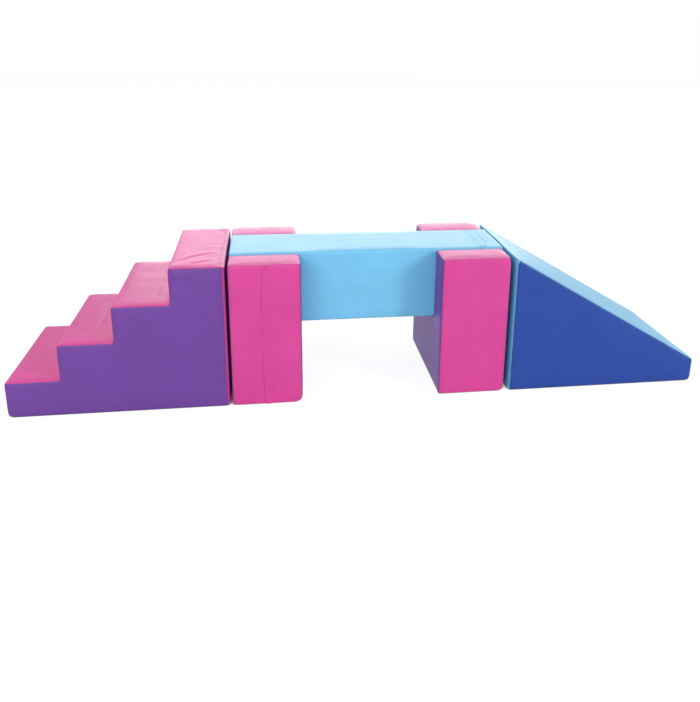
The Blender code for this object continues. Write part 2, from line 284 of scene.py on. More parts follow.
def select_all():
    """Selects all of the edited mesh."""
    bpy.ops.mesh.select_all(action="SELECT")


def pick(kind, test):
    """Selects the faces, edges or points of the edited mesh that pass a test."""
    mesh = bpy.context.edit_object.data
    bpy.context.tool_settings.mesh_select_mode = [
        kind == each for each in ("VERT", "EDGE", "FACE")]
    shape = bmesh.from_edit_mesh(mesh)
    shape.select_mode = {kind}
    for group in (shape.verts, shape.edges, shape.faces):
        for part in group:
            part.select = False
    shape.normal_update()
    parts = {"VERT": shape.verts, "EDGE": shape.edges, "FACE": shape.faces}[kind]
    for part in [part for part in parts if test(part)]:
        part.select = True
    shape.select_flush_mode()
    bmesh.update_edit_mesh(mesh)


def places(item):
    found = np.zeros(len(item.data.vertices) * 3)
    item.data.vertices.foreach_get("co", found)
    return found.reshape(-1, 3)


def normals(item):
    found = np.zeros(len(item.data.vertices) * 3)
    item.data.vertices.foreach_get("normal", found)
    return found.reshape(-1, 3)


def move_to(item, found):
    item.data.vertices.foreach_set("co", found.astype(np.float32).ravel())
    item.data.update()


def apply_modifier(item, kind, **settings):
    make_active(item)
    bpy.ops.object.modifier_add(type=kind)
    modifier = item.modifiers[-1]
    for name, value in settings.items():
        setattr(modifier, name, value)
    bpy.ops.object.modifier_apply(modifier=modifier.name)


def add_block(name, first, last):
    """A cube between two corners, left in edit mode."""
    deselect_all()
    first, last = Vector(first), Vector(last)
    bpy.ops.mesh.primitive_cube_add(
        size=1, location=(first + last) / 2, scale=last - first)
    bpy.ops.object.transform_apply(location=True, rotation=True, scale=True)
    block = bpy.context.object
    block.name = name
    edit_mode()
    return block


def cut_across(axis, level, **clear):
    """Cuts the edited mesh by a plane square to an axis."""
    select_all()
    point, normal = Vector(), Vector()
    point[axis] = level
    normal[axis] = 1
    bpy.ops.mesh.bisect(plane_co=point, plane_no=normal, **clear)


def raise_top(level, height, test):
    """Extrudes the faces on top at a level, where their middle passes a test."""
    def on_top(face):
        middle = face.calc_center_median()
        return (face.normal.z > FACING and abs(middle.z - level) < SAME_PLACE
                and test(middle))
    pick("FACE", on_top)
    bpy.ops.mesh.extrude_region_move(TRANSFORM_OT_translate={"value": (0, 0, height)})


def is_upright(edge):
    return abs(edge.verts[0].co.z - edge.verts[1].co.z) > RISE / 2


def round_edges(radius, rounder=lambda edge: False, sharper=lambda edge: False):
    """Rounds every outer edge of the edited block: some twice as much, some less."""
    select_all()
    bpy.ops.mesh.normals_make_consistent(inside=False)
    block = bpy.context.edit_object
    shape = bmesh.from_edit_mesh(block.data)
    weight = shape.edges.layers.float.new("bevel_weight_edge")
    for edge in shape.edges:
        if edge.calc_face_angle_signed(0) > OUTER_EDGE:
            edge[weight] = (ROUNDEST if rounder(edge) else SHARP if sharper(edge) else ROUND)
    bmesh.update_edit_mesh(block.data)
    object_mode()
    apply_modifier(
        block, "BEVEL", width=2 * radius, offset_type="OFFSET", limit_method="WEIGHT",
        segments=covers().edge_facets, profile=0.5, use_clamp_overlap=False)
    block.data.attributes.remove(block.data.attributes["bevel_weight_edge"])
    edit_mode()


def edge_rings(shape):
    """Groups the edges that lie opposite each other across four-sided faces."""
    rings, seen = [], set()
    for start in shape.edges:
        if start in seen:
            continue
        ring, waiting = [], [start]
        seen.add(start)
        while waiting:
            edge = waiting.pop()
            ring.append(edge)
            for loop in edge.link_loops:
                across = loop.link_loop_next.link_loop_next.edge
                if len(loop.face.verts) == 4 and across not in seen:
                    seen.add(across)
                    waiting.append(across)
        rings.append(ring)
    return rings


def divide_evenly(step):
    """Divides the edited block's rings of edges, longest first, into about equal steps."""
    longest_left = step * 1.5
    while True:
        shape = bmesh.from_edit_mesh(bpy.context.edit_object.data)
        rings = edge_rings(shape)
        spans = [sum(edge.calc_length() for edge in ring) / len(ring) for ring in rings]
        longest = max(spans)
        if longest < longest_left:
            return
        chosen = set(rings[spans.index(longest)])
        pick("EDGE", lambda edge: edge in chosen)
        bpy.ops.mesh.subdivide(number_cuts=round(longest / step) - 1)


# Blocks with rounded edges, one for each module

def stairs_block(radius):
    first, last = STAIRS
    block = add_block("stairs_skin", first, (last.x, last.y, FOOT + RISE))
    for riser in RISERS[1:]:
        cut_across(0, riser)
    for step in range(1, STEP_COUNT):
        raise_top(FOOT + step * RISE, RISE, lambda middle: middle.x > RISERS[step])
    round_edges(radius, rounder=lambda edge: is_upright(edge) and (
        edge.verts[0].co.y > 0 or edge.verts[0].co.x > last.x - SAME_PLACE))
    return block


def post_block(module, radius):
    first, last = module
    block = add_block("post_skin", first, (last.x, last.y, NOTCH_FLOOR))
    for side in (-NOTCH_SIDE, NOTCH_SIDE):
        cut_across(1, side)
    raise_top(NOTCH_FLOOR, POST_TOP - NOTCH_FLOOR, lambda middle: abs(middle.y) > NOTCH_SIDE)
    round_edges(radius, rounder=lambda edge: (
        is_upright(edge) and edge.verts[0].co.y > last.y - SAME_PLACE))
    return block


def beam_block(radius):
    block = add_block("beam_skin", *BEAM)
    round_edges(radius)
    return block


def ramp_block(radius):
    first, last = RAMP
    block = add_block("ramp_skin", first, last)
    pick("VERT", lambda vert: (
        vert.co.x > last.x - SAME_PLACE and vert.co.z > last.z - SAME_PLACE))
    bpy.ops.transform.translate(value=(0, 0, FOOT + TOE - last.z))
    round_edges(
        radius,
        rounder=lambda edge: is_upright(edge) and edge.verts[0].co.x < first.x + SAME_PLACE,
        sharper=lambda edge: all(
            vert.co.x < first.x + SAME_PLACE and vert.co.z > last.z - SAME_PLACE
            for vert in edge.verts))
    return block


# Panels of each module: its node, finish, flat size, share of that size that the panel
# takes, and the faces that it covers. A face goes to the first panel that takes it.

def rim(size):
    """Flat size of a panel that ends in the middle of a rounded edge at both ends."""
    return size + covers().edge_radius * (math.pi / 2 - 2) + 2 * SEAM_ALLOWANCE


def past_edge(module, axis, way):
    """Takes the faces past the seam in a module's rounded edges, on the side that a way
    along an axis leads to."""
    level = module[way > 0][axis] - way * SIDE_SEAM * covers().edge_radius
    return lambda middle, normal: (middle[axis] - level) * way > 0


def anywhere(middle, normal):
    return True


def side_panels(name, module, colour, share, start=-math.inf, end=math.inf):
    """A module's front and rear side panels, between a start and an end along it."""
    size = module[1] - module[0]

    def between(past):
        return lambda middle, normal: past(middle, normal) and start < middle.x < end
    return [
        (f"{name}_{side}_side_cover", colour, (rim(size.x), rim(size.z)), share,
         between(past_edge(module, 1, way))) for side, way in (("front", -1), ("rear", 1))]


def base_panel(name, module):
    first, last = module
    size = last - first
    return (
        f"{name}_base_cover", "sole", (rim(size.x), rim(size.y)), 1,
        lambda middle, normal: normal.z < -FACING
        and first.x + SEAM_FROM_CORNER < middle.x < last.x - SEAM_FROM_CORNER)


def back_panels(name, module, colour, wrap, at_back):
    """The two halves of a module's back panel, one at each side of its slit."""
    size = module[1] - module[0]
    flat = (rim(size.y) / 2 + wrap, size.z + 4 * SEAM_FROM_CORNER)
    return [
        (f"{name}_back_cover_front", colour, flat, 1,
         lambda middle, normal: at_back(middle, normal) and middle.y < BACK_SLIT),
        (f"{name}_back_cover_rear", colour, flat, 1, at_back)]


def stairs_panels():
    size = STAIRS[1] - STAIRS[0]
    steps = (STEP_COUNT + 1) / (2 * STEP_COUNT)
    seam = STAIRS[1].x - SEAM_FROM_CORNER
    return [
        *side_panels("stairs", STAIRS, "purple", steps, end=STAIRS[1].x - BACK_WRAP),
        base_panel("stairs", STAIRS),
        *back_panels("stairs", STAIRS, "pink", BACK_WRAP,
                     lambda middle, normal: middle.x > seam),
        ("stairs_step_cover", "pink", (rim(size.y), size.x + size.z), 1, anywhere),
    ]


def post_panels(post, module, slit_side):
    """A post's panels. Its slit side is -1 where the front is slit, and 1 for the rear."""
    first, last = module
    size = last - first
    arm = last.y - NOTCH_SIDE
    sides = [past_edge(module, 0, way) for way in (-1, 1)]
    outer, inner = sides if post == "left_post" else sides[::-1]
    slit = LEFT_SLIT if post == "left_post" else RIGHT_SLIT
    slit_face, plain_face = ("front", "rear") if slit_side < 0 else ("rear", "front")
    notched = 1 - (size.z - NOTCH_FLOOR) * 2 * NOTCH_SIDE / (size.z * size.y)
    upright = size.z + 4 * SEAM_FROM_CORNER
    seam = last.y - SEAM_FROM_CORNER
    return (
        (f"{post}_outer_side_cover", "purple", (rim(size.y), rim(size.z)), notched, outer),
        (f"{post}_inner_side_cover", "purple", (rim(size.y), rim(size.z)), notched, inner),
        (f"{post}_base_cover", "sole", (rim(size.x), rim(size.y)), 1,
         lambda middle, normal: normal.z < -FACING and abs(middle.y) < seam),
        (f"{post}_{plain_face}_cover", "pink", (rim(size.x), upright), 1,
         lambda middle, normal: middle.y * slit_side < -seam),
        (f"{post}_{slit_face}_cover_outer", "pink", (rim(size.x) / 2, upright), 1,
         lambda middle, normal: middle.y * slit_side > seam
         and abs(middle.x) > abs(slit)),
        (f"{post}_{slit_face}_cover_inner", "pink", (rim(size.x) / 2, upright), 1,
         lambda middle, normal: middle.y * slit_side > seam),
        (f"{post}_top_cover", "pink",
         (rim(size.x), 2 * arm + 2 * (POST_TOP - NOTCH_FLOOR) + 2 * NOTCH_SIDE), 1, anywhere),
    )


def beam_panels():
    first, last = BEAM
    size = last - first
    around = 2 * (size.y + size.z)
    return (
        ("beam_stairs_end_cover", "sky", (rim(size.y), rim(size.z)), 1,
         past_edge(BEAM, 0, -1)),
        ("beam_ramp_end_cover", "sky", (rim(size.y), rim(size.z)), 1,
         past_edge(BEAM, 0, 1)),
        ("beam_collar_cover", "sky", (around, last.x - BEAM_SLIT), 1,
         lambda middle, normal: middle.x > BEAM_SLIT),
        ("beam_wrap_cover", "sky", (around, BEAM_SLIT - first.x), 1, anywhere),
    )


def at_ramp_back(middle, normal):
    on_slope = normal.z > 0.3
    return middle.x < (SLOPE_SEAM if on_slope else RAMP[0].x + SEAM_FROM_CORNER)


def ramp_panels():
    size = RAMP[1] - RAMP[0]
    slope = math.hypot(size.x, size.z - TOE)
    return [
        *side_panels("ramp", RAMP, "blue", RAMP_SIDE_SHARE, start=RAMP[0].x + RAMP_WRAP),
        base_panel("ramp", RAMP),
        *back_panels("ramp", RAMP, "sky", RAMP_WRAP, at_ramp_back),
        ("ramp_slope_cover", "sky", (rim(size.y), slope + TOE), 1, anywhere),
    ]


# Zones where a cover stays flat: under a flap, in a notch, and where the beam lies in it

REACH = 0.02
NOTCH_MARGIN = 0.004
BEAM_TOP_MARGIN = 0.010


def zone_at(node):
    """A zone round a node."""
    return low(node) - Vector((REACH,) * 3), high(node) + Vector((REACH,) * 3)


def notch_zone(module):
    first, last = module
    side = NOTCH_SIDE + NOTCH_MARGIN
    return (Vector((first.x - REACH, -side, NOTCH_FLOOR - NOTCH_MARGIN)),
            Vector((last.x + REACH, side, TOP + REACH)))


def beam_zone(module):
    first, last = module
    return (Vector((first.x - REACH, -NOTCH_SIDE, NOTCH_FLOOR - REACH)),
            Vector((last.x + REACH, NOTCH_SIDE, TOP - BEAM_TOP_MARGIN)))


def facts_of_post(post, module, near, slit, slit_side):
    """A post's facts, which are the same for both posts but for the sides they face."""
    seam, side = module[1].y - SEAM_FROM_CORNER, NOTCH_SIDE - NOTCH_CUT
    return dict(
        corners=module, block=lambda radius: post_block(module, radius), near=(near,),
        panels=lambda: post_panels(post, module, slit_side),
        cuts=((1, module[0].y + SEAM_FROM_CORNER), (1, seam), (0, slit),
              (2, NOTCH_FLOOR + NOTCH_CUT), (1, side), (1, -side)),
        still=(zone_at(f"{post}_closing_flap"), notch_zone(module)),
        foam=[f"{post}_foam_{part}" for part in ("base", "front_arm", "rear_arm")])


# Each module's corners, block and panels, the sides with a close neighbour, the cuts
# through its block (an axis and a level), the zones that stay flat, and its foam
MODULES = {
    "stairs": dict(
        corners=STAIRS, block=stairs_block, panels=stairs_panels, near=(1,),
        cuts=((0, STAIRS[0].x + SEAM_FROM_CORNER), (0, STAIRS[1].x - SEAM_FROM_CORNER),
              (0, STAIRS[1].x - BACK_WRAP), (1, BACK_SLIT)),
        still=(zone_at("stairs_closing_flap"),),
        foam=["stairs_foam_layer_%d" % layer for layer in range(1, STEP_COUNT + 1)]),
    "left_post": facts_of_post("left_post", LEFT_POST, -1, LEFT_SLIT, -1),
    "right_post": facts_of_post("right_post", RIGHT_POST, 1, RIGHT_SLIT, 1),
    "beam": dict(
        corners=BEAM, block=beam_block, panels=beam_panels, near=(-1, 1),
        cuts=((0, BEAM_SLIT), (1, 0)),
        still=(zone_at("beam_closing_flap"), beam_zone(LEFT_POST), beam_zone(RIGHT_POST)),
        foam=["beam_foam"]),
    "ramp": dict(
        corners=RAMP, block=ramp_block, panels=ramp_panels, near=(-1,),
        cuts=((0, RAMP[0].x + RAMP_WRAP), (0, RAMP[0].x + SEAM_FROM_CORNER), (0, SLOPE_SEAM),
              (0, RAMP[1].x - SEAM_FROM_CORNER), (1, BACK_SLIT)),
        still=(zone_at("ramp_closing_flap"),),
        foam=["ramp_foam"]),
}

# Folds in the covers. Each is on a flat face and has a height, a width and a line of
# points in shares of that face. A fold with a height below nothing is a crease.
FOLDS = {
    "stairs": (
        ("tread_4", -0.0012, 0.011, ((.09, .119), (.23, .145), (.33, .209), (.5, .254),
                                     (.64, .272))),
        ("tread_4", 0.0013, 0.013, ((.03, .17), (.21, .213), (.33, .271), (.49, .303),
                                    (.68, .335), (.93, .353))),
        ("tread_4", 0.0011, 0.010, ((.34, .1), (.47, .13), (.62, .163), (.81, .179))),
        ("tread_4", -0.0012, 0.009, ((.4, .074), (.58, .115), (.73, .121))),
        ("tread_4", 0.0012, 0.010, ((.89, .28), (.94, .053))),
        ("tread_4", -0.0012, 0.012, ((.68, .947), (.86, .874), (.91, .778))),
        ("tread_4", 0.0007, 0.020, ((.6, .472), (.97, .46))),
        ("tread_3", -0.0014, 0.012, ((.72, .748), (.70, .42), (.68, .124))),
        ("tread_2", -0.0012, 0.012, ((.56, .688), (.56, .468), (.57, .246))),
        ("front", 0.0013, 0.006, ((.768, .972), (.80, .951), (.838, .946))),
        ("front", -0.0010, 0.006, ((.771, .948), (.81, .928), (.85, .931))),
        ("front", 0.0010, 0.008, ((.775, .925), (.80, .902), (.83, .895))),
        ("front", 0.0011, 0.007, ((.975, .985), (.968, .95), (.962, .90))),
        ("front", 0.0005, 0.030, ((.30, .20), (.55, .34), (.80, .30))),
    ),
    "left_post": (
        ("front", 0.0013, 0.006, ((.40, .148), (.46, .158), (.53, .172))),
        ("front", -0.0008, 0.006, ((.42, .125), (.50, .14))),
        ("front", 0.0014, 0.007, ((.48, .028), (.56, .05), (.66, .086))),
        ("front", 0.0008, 0.010, ((.50, .10), (.58, .12), (.64, .13))),
        ("front", -0.0008, 0.012, ((.45, .50), (.53, .43), (.60, .36))),
        ("front", 0.0010, 0.006, ((.44, .985), (.47, .965), (.45, .93))),
    ),
    "right_post": (
        ("front", 0.0007, 0.020, ((.15, .80), (.45, .70), (.80, .74))),
        ("front", -0.0006, 0.018, ((.20, .25), (.55, .32), (.85, .22))),
    ),
    "beam": (
        ("top", 0.0008, 0.016, ((.35, .55), (.50, .62), (.62, .55))),
        ("top", -0.0007, 0.014, ((.80, .30), (.84, .60), (.83, .85))),
        ("front", 0.0006, 0.018, ((.30, .40), (.42, .55), (.55, .48))),
    ),
    "ramp": (
        ("slope", -0.0009, 0.016, ((.10, .25), (.14, .55), (.12, .80))),
        ("slope", 0.0008, 0.018, ((.45, .30), (.50, .60), (.47, .85))),
        ("slope", -0.0008, 0.014, ((.86, .20), (.88, .55), (.86, .85))),
        ("front", 0.0006, 0.025, ((.12, .60), (.25, .35), (.42, .25))),
    ),
}


# Corners that are pressed in: the corner in shares of the module's box, how far the press
# reaches and how deep it is
PRESSED = {
    "stairs": (((0, 0, 0), 0.024, 0.004), ((0, 1, .25), 0.026, 0.004),
               ((.25, 1, .5), 0.026, 0.004), ((.5, 1, .75), 0.026, 0.004),
               ((.75, 1, 1), 0.026, 0.004)),
    "left_post": (((1, 0, 0), 0.034, 0.009), ((0, 0, 0), 0.020, 0.002),
                  ((0, 1, 1), 0.032, 0.006), ((1, 1, 1), 0.032, 0.006),
                  ((0, 0, 1), 0.024, 0.003), ((1, 0, 1), 0.024, 0.003)),
    "right_post": (((1, 0, 0), 0.028, 0.006), ((0, 1, 1), 0.032, 0.006),
                   ((1, 1, 1), 0.045, 0.010), ((1, 0, 1), 0.030, 0.004)),
    "ramp": (((1, 0, 0), 0.024, 0.004), ((0, 1, 1), 0.030, 0.004)),
    "beam": (),
}


# The cloth simulation, how far from a flat zone or the floor a cover swells fully, and how
# squarely it faces a neighbour
SWELL_FRAMES = 20
SWELL_CLOTH = {
    "quality": 5, "mass": 0.4, "tension_stiffness": 12, "compression_stiffness": 12,
    "shear_stiffness": 6, "bending_stiffness": 0.6, "use_pressure": True,
    "shrink_min": -0.004}
STILL_MARGIN = 0.025
BEAM_MARGIN = 0.10
FLAT_OVER_FLOOR = 0.008
FREE_OVER_FLOOR = 0.06
TOWARDS = (0.3, 0.8)
NO_ROOM = 1e-5
TINY = 1e-9

# Broad waves and puckers: how many to a metre, and how far from a seam they start and end.
# Then how far the darkening beside a seam reaches, which is partly dust and partly painted
# shade, and the turn of an edge that is fully worn.
WAVES = 13
PUCKERS = 34
PUCKERS_REACH = 0.022
PUCKERS_START = 0.004
WAVES_START = 0.03
SEAM_DUST_AND_SHADE_REACH = 0.006
EDGE_WEAR_TURN = 0.28


def ease(value, start, end):
    """0 up to start, 1 from end on, and smooth between."""
    share = np.clip((value - start) / (end - start), 0, 1)
    return share * share * (3 - 2 * share)


def swell_room(module, place, outward):
    """How far each point of a module's cover may move out."""
    first, last = (np.array(corner) for corner in MODULES[module]["corners"])
    room = np.full(len(place), covers().swell)
    for side in MODULES[module]["near"]:
        edge = last[0] if side > 0 else first[0]
        facing = ease(outward[:, 0] * side, *TOWARDS) * (abs(place[:, 0] - edge) < REACH)
        room += facing * (covers().near_swell - covers().swell)
    for zone_low, zone_high in MODULES[module]["still"]:
        away = np.maximum(np.array(zone_low) - place, place - np.array(zone_high))
        margin = BEAM_MARGIN if module == "beam" else STILL_MARGIN
        room *= ease(np.linalg.norm(np.maximum(away, 0), axis=1), 0, margin)
    if module != "beam":
        room *= ease(place[:, 2], FOOT + FLAT_OVER_FLOOR, FOOT + FREE_OVER_FLOOR)
    return room


def seam_points(skin):
    """The points where two panels meet, or where one panel's cloth meets itself."""
    shape = bmesh.new()
    shape.from_mesh(skin.data)
    found = set()
    for edge in shape.edges:
        if edge.is_boundary or len({face.material_index for face in edge.link_faces}) > 1:
            found.update(vert.index for vert in edge.verts)
    shape.free()
    return sorted(found)


def mark_panels(skin, panels):
    """Gives each panel's faces a placeholder material with its node's name."""
    def taken_by(face):
        middle, normal = face.calc_center_median(), face.normal
        return [panel[-1](middle, normal) for panel in panels].index(True)
    for index, panel in enumerate(panels):
        skin.data.materials.append(bpy.data.materials.new(panel[0]))
        pick("FACE", lambda face: taken_by(face) == index)
        skin.active_material_index = index
        bpy.ops.object.material_slot_assign()


def swell_cover(skin, module):
    """Lets the cover swell under the foam's pressure, held at its seams."""
    rest, outward = places(skin), normals(skin)
    room = swell_room(module, rest, outward)
    held = set(seam_points(skin)) | set(np.flatnonzero(room < NO_ROOM).tolist())
    group = skin.vertex_groups.new(name="held")
    group.add(sorted(held), 1, "REPLACE")
    make_active(skin)
    bpy.ops.object.modifier_add(type="CLOTH")
    modifier = skin.modifiers[-1]
    cloth = modifier.settings
    cloth.vertex_group_mass = group.name
    for name, value in SWELL_CLOTH.items():
        setattr(cloth, name, value)
    cloth.uniform_pressure_force = covers().pressure
    cloth.effector_weights.gravity = 0
    modifier.point_cache.frame_start = 1
    modifier.point_cache.frame_end = SWELL_FRAMES
    for step in range(1, SWELL_FRAMES + 1):
        bpy.context.scene.frame_set(step)
    bpy.ops.object.modifier_apply(modifier=modifier.name)
    bpy.context.scene.frame_set(1)
    skin.vertex_groups.clear()
    move = places(skin) - rest
    out = np.sum(move * outward, axis=1)
    slide = move - outward * out[:, None]
    length = np.maximum(np.linalg.norm(slide, axis=1), TINY)
    room = np.maximum(room, TINY)
    slide *= (room * np.tanh(length / room) / length)[:, None]
    out = room * np.tanh(np.maximum(out, 0) / room)
    move_to(skin, rest + slide + outward * out[:, None])


def ruffle_cover(skin, module):
    """Broad waves over the cover and puckers beside its seams. Keeps how near each point
    is to a seam and how far round an edge, for the finishes."""
    place, outward = places(skin), normals(skin)
    seams = KDTree(len(place))
    for index in seam_points(skin):
        seams.insert(place[index], index)
    seams.balance()
    points = [Vector(point) for point in place]
    distance = np.array([seams.find(point)[2] for point in points])
    wave = np.array([noise.noise(point * WAVES) for point in points])
    pucker = np.array([noise.noise(point * PUCKERS) for point in points])
    share = np.clip(swell_room(module, place, outward) / covers().swell, 0, 1)
    beside = np.exp(-(distance / PUCKERS_REACH) ** 2) * ease(distance, 0, PUCKERS_START)
    height = share * (covers().wave_height * wave * ease(distance, 0, WAVES_START)
                      + covers().pucker_height * pucker * beside)
    slope = Vector((RAMP[1].z - RAMP[0].z - TOE, 0, RAMP[1].x - RAMP[0].x)).normalized()
    flat = np.max(np.abs(outward @ np.array([*Matrix.Identity(3), slope]).T), axis=1)
    # How near each point is to a seam; the cloth finish darkens there with dust and painted
    # shade
    keep_attribute(skin, "seam", np.exp(-distance / SEAM_DUST_AND_SHADE_REACH))
    keep_attribute(skin, "edge", np.clip((1 - flat) / EDGE_WEAR_TURN, 0, 1))
    move_to(skin, place + outward * height[:, None])


def keep_attribute(item, name, values):
    attribute = item.data.attributes.new(name, "FLOAT", "POINT")
    attribute.data.foreach_set("value", np.asarray(values, dtype=np.float32))


def press_dips(skin, module):
    """Presses the shallow dips in which the tapes of a module's flap lie."""
    place = places(skin)
    flap = Flap(module)
    first, last = (np.array(corner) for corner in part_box(f"{module}_loop_tape"))
    away = np.maximum(np.maximum(first - place, place - last), 0)
    away *= 1 - abs(np.array(flap.out))
    above = abs((place - np.array(flap.corner)) @ np.array(flap.out))
    dip = DIP * (above < REACH) * (1 - ease(np.linalg.norm(away, axis=1), 0, DIP_SLOPE))
    move_to(skin, place - dip[:, None] * np.array(flap.out))


def press_corners(skin, module):
    """Presses a module's worn corners in."""
    place = places(skin)
    first, last = (np.array(corner) for corner in MODULES[module]["corners"])
    for share, reach, depth in PRESSED[module]:
        corner = first + np.array(share) * (last - first)
        inward = (0.5 - np.array(share)) * 2
        away = np.linalg.norm(place - corner, axis=1)
        press = depth * (1 - ease(away, 0, reach))
        place += press[:, None] * inward / np.linalg.norm(inward)
    move_to(skin, place)


# How deep the beam's end is pressed in, and where the press fades out: beside the ramp's
# flap, behind the end and above the flap
BEAM_END_PRESS = 0.0115
BEAM_END_BESIDE = (0.012, 0.07)
BEAM_END_BEHIND = (0.05, 0.006)
BEAM_END_ABOVE = (0.003, 0.022)


def press_beam_end(skin):
    """Presses the beam's end in where the ramp's flap opens towards it."""
    place = places(skin)
    first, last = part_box("ramp_closing_flap")
    end = BEAM[1].x
    beside = np.maximum(np.maximum(first.y - place[:, 1], place[:, 1] - last.y), 0)
    share = (1 - ease(beside, *BEAM_END_BESIDE)) * ease(
        place[:, 0], *(end - behind for behind in BEAM_END_BEHIND))
    share *= 1 - ease(place[:, 2], *(last.z + above for above in BEAM_END_ABOVE))
    place[:, 0] -= BEAM_END_PRESS * share
    move_to(skin, place)


def face_of(module, name):
    """A flat face of a module: a corner, its two sides and the way that it faces."""
    first, last = MODULES[module]["corners"]
    size = last - first
    along, deep, up = Vector((size.x, 0, 0)), Vector((0, size.y, 0)), Vector((0, 0, size.z))
    if name == "front":
        return first, along, up, Vector((0, -1, 0))
    if name == "top":
        return first + up, along, deep, Vector((0, 0, 1))
    if name == "slope":
        down = Vector((size.x, 0, TOE - size.z))
        return first + up, down, deep, down.cross(deep).normalized()
    step = int(name.split("_")[1])
    corner = first + Vector(((step - 1) * TREAD, 0, step * RISE))
    return corner, Vector((TREAD, 0, 0)), deep, Vector((0, 0, 1))


# How a fold is held to its face, fades out at its ends, and dips at its sides
FOLD_REACH = 0.008
FOLD_FACING = 0.8
FOLD_FADE = 0.25
FOLD_PAST = 0.05
FOLD_RIM = 0.7


def press_folds(skin, module):
    """Presses a module's folds into its cover."""
    place, outward = places(skin), normals(skin)
    move = np.zeros_like(place)
    for name, height, width, shares in FOLDS[module]:
        corner, side, rise, out = (np.array(part) for part in face_of(module, name))
        above = (place - corner) @ out
        spot = place - corner - above[:, None] * out
        on_face = (abs(above) < FOLD_REACH) & (outward @ out > FOLD_FACING)
        line = [share[0] * side + share[1] * rise for share in shares]
        whole = sum(np.linalg.norm(end - start) for start, end in zip(line, line[1:]))
        nearest = np.full(len(place), 1.0)
        along = np.zeros(len(place))
        walked = 0
        for start, end in zip(line, line[1:]):
            way = end - start
            length = np.linalg.norm(way)
            share = np.clip((spot - start) @ way / length ** 2, 0, 1)
            gap = np.linalg.norm(spot - start - share[:, None] * way, axis=1)
            closer = gap < nearest
            nearest[closer] = gap[closer]
            along[closer] = walked / whole + share[closer] * length / whole
            walked += length
        fade = ease(along, -FOLD_PAST, FOLD_FADE)
        fade *= 1 - ease(along, 1 - FOLD_FADE, 1 + FOLD_PAST)
        across = (nearest / width) ** 2
        bump = (1 - FOLD_RIM * across) * np.exp(-across)
        move += (on_face * fade * height * bump)[:, None] * out
    move_to(skin, place + move)


def part_at_seams(skin):
    """Parts the skin into its panels, each under its node's name."""
    outward = normals(skin)
    seams = seam_points(skin)
    tree = KDTree(len(seams))
    for order, index in enumerate(seams):
        tree.insert(skin.data.vertices[index].co, order)
    tree.balance()
    seam_normals = [Vector(outward[index]) for index in seams]
    make_active(skin)
    edit_mode()
    select_all()
    bpy.ops.mesh.separate(type="MATERIAL")
    object_mode()
    panels = {item.data.materials[0].name: item for item in bpy.context.selected_objects}
    return panels, tree, seam_normals


def turn_in_seams(panel, tree, seam_normals):
    """Turns the panel's border down into its seams, with a small radius."""
    make_active(panel)
    edit_mode()
    shape = bmesh.from_edit_mesh(panel.data)
    for vert in [vert for vert in shape.verts if vert.is_boundary]:
        normal = seam_normals[tree.find(vert.co)[1]]
        middles = [face.calc_center_median() for face in vert.link_faces]
        inside = sum(middles, Vector()) / len(middles) - vert.co
        inside -= normal * inside.dot(normal)
        vert.co += inside.normalized() * SEAM_GAP / 2
    pick("EDGE", lambda edge: edge.is_boundary)
    bpy.ops.mesh.extrude_region_move()
    shape = bmesh.from_edit_mesh(panel.data)
    for vert in [vert for vert in shape.verts if vert.select]:
        vert.co -= seam_normals[tree.find(vert.co)[1]] * covers().seam_depth
    bmesh.update_edit_mesh(panel.data)
    pick("EDGE", lambda edge: not edge.is_boundary
         and edge.calc_face_angle(0) > SMOOTH_ANGLE)
    bpy.ops.mesh.bevel(
        offset=covers().seam_radius, offset_type="OFFSET", segments=3, profile=0.5,
        affect="EDGES", clamp_overlap=True)
    object_mode()


def smooth(item):
    make_active(item)
    bpy.ops.object.shade_smooth_by_angle(angle=SMOOTH_ANGLE)


def dress(item, finish, body, nodes):
    """Gives a finished piece its material, attaches it to its body, and hides the nodes that it
    stands for.
    """
    item.data.materials.clear()
    item.data.materials.append(finish)
    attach(item, body)
    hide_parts(*nodes)


SLOTS = {
    "purple": "purple_cover", "pink": "pink_cover", "sky": "sky_cover",
    "blue": "blue_cover", "sole": "base_cover", "tape": "tape", "foam": "foam",
}


def slit_beam():
    """Opens the edited beam's wrap along the seam under it."""
    end = BEAM[1].x - covers().edge_radius
    pick("EDGE", lambda edge: all(
        abs(vert.co.y) < SAME_PLACE and vert.co.z < BEAM[0].z + SAME_PLACE
        and abs(vert.co.x) < end + SAME_PLACE for vert in edge.verts))
    bpy.ops.mesh.edge_split()


def sew_module(module):
    """Makes a module's cover and parts it into its panels."""
    facts = MODULES[module]
    skin = facts["block"](covers().edge_radius)
    for axis, level in facts["cuts"]:
        cut_across(axis, level)
    divide_evenly(covers().mesh_step)
    panels = facts["panels"]()
    mark_panels(skin, panels)
    if module == "beam":
        slit_beam()
    object_mode()
    swell_cover(skin, module)
    levels = covers().smoothing
    apply_modifier(skin, "SUBSURF", levels=levels, render_levels=levels)
    ruffle_cover(skin, module)
    press_folds(skin, module)
    press_dips(skin, module)
    press_corners(skin, module)
    if module == "beam":
        press_beam_end(skin)
    parts, tree, seam_normals = part_at_seams(skin)
    for node, colour, flat, share, _ in panels:
        panel = parts[node]
        panel.name = node.replace("cover", "panel")
        turn_in_seams(panel, tree, seam_normals)
        apply_modifier(panel, "SOLIDIFY", thickness=covers().cloth, offset=-1)
        place = places(panel)
        place[:, 2] = np.maximum(place[:, 2], FLOOR)
        if colour == "sole":
            place[:, 2] = np.maximum(place[:, 2] - (FOOT - FLOOR), FLOOR)
        move_to(panel, place)
        smooth(panel)
        dress(panel, finish_of(colour), module, [node])


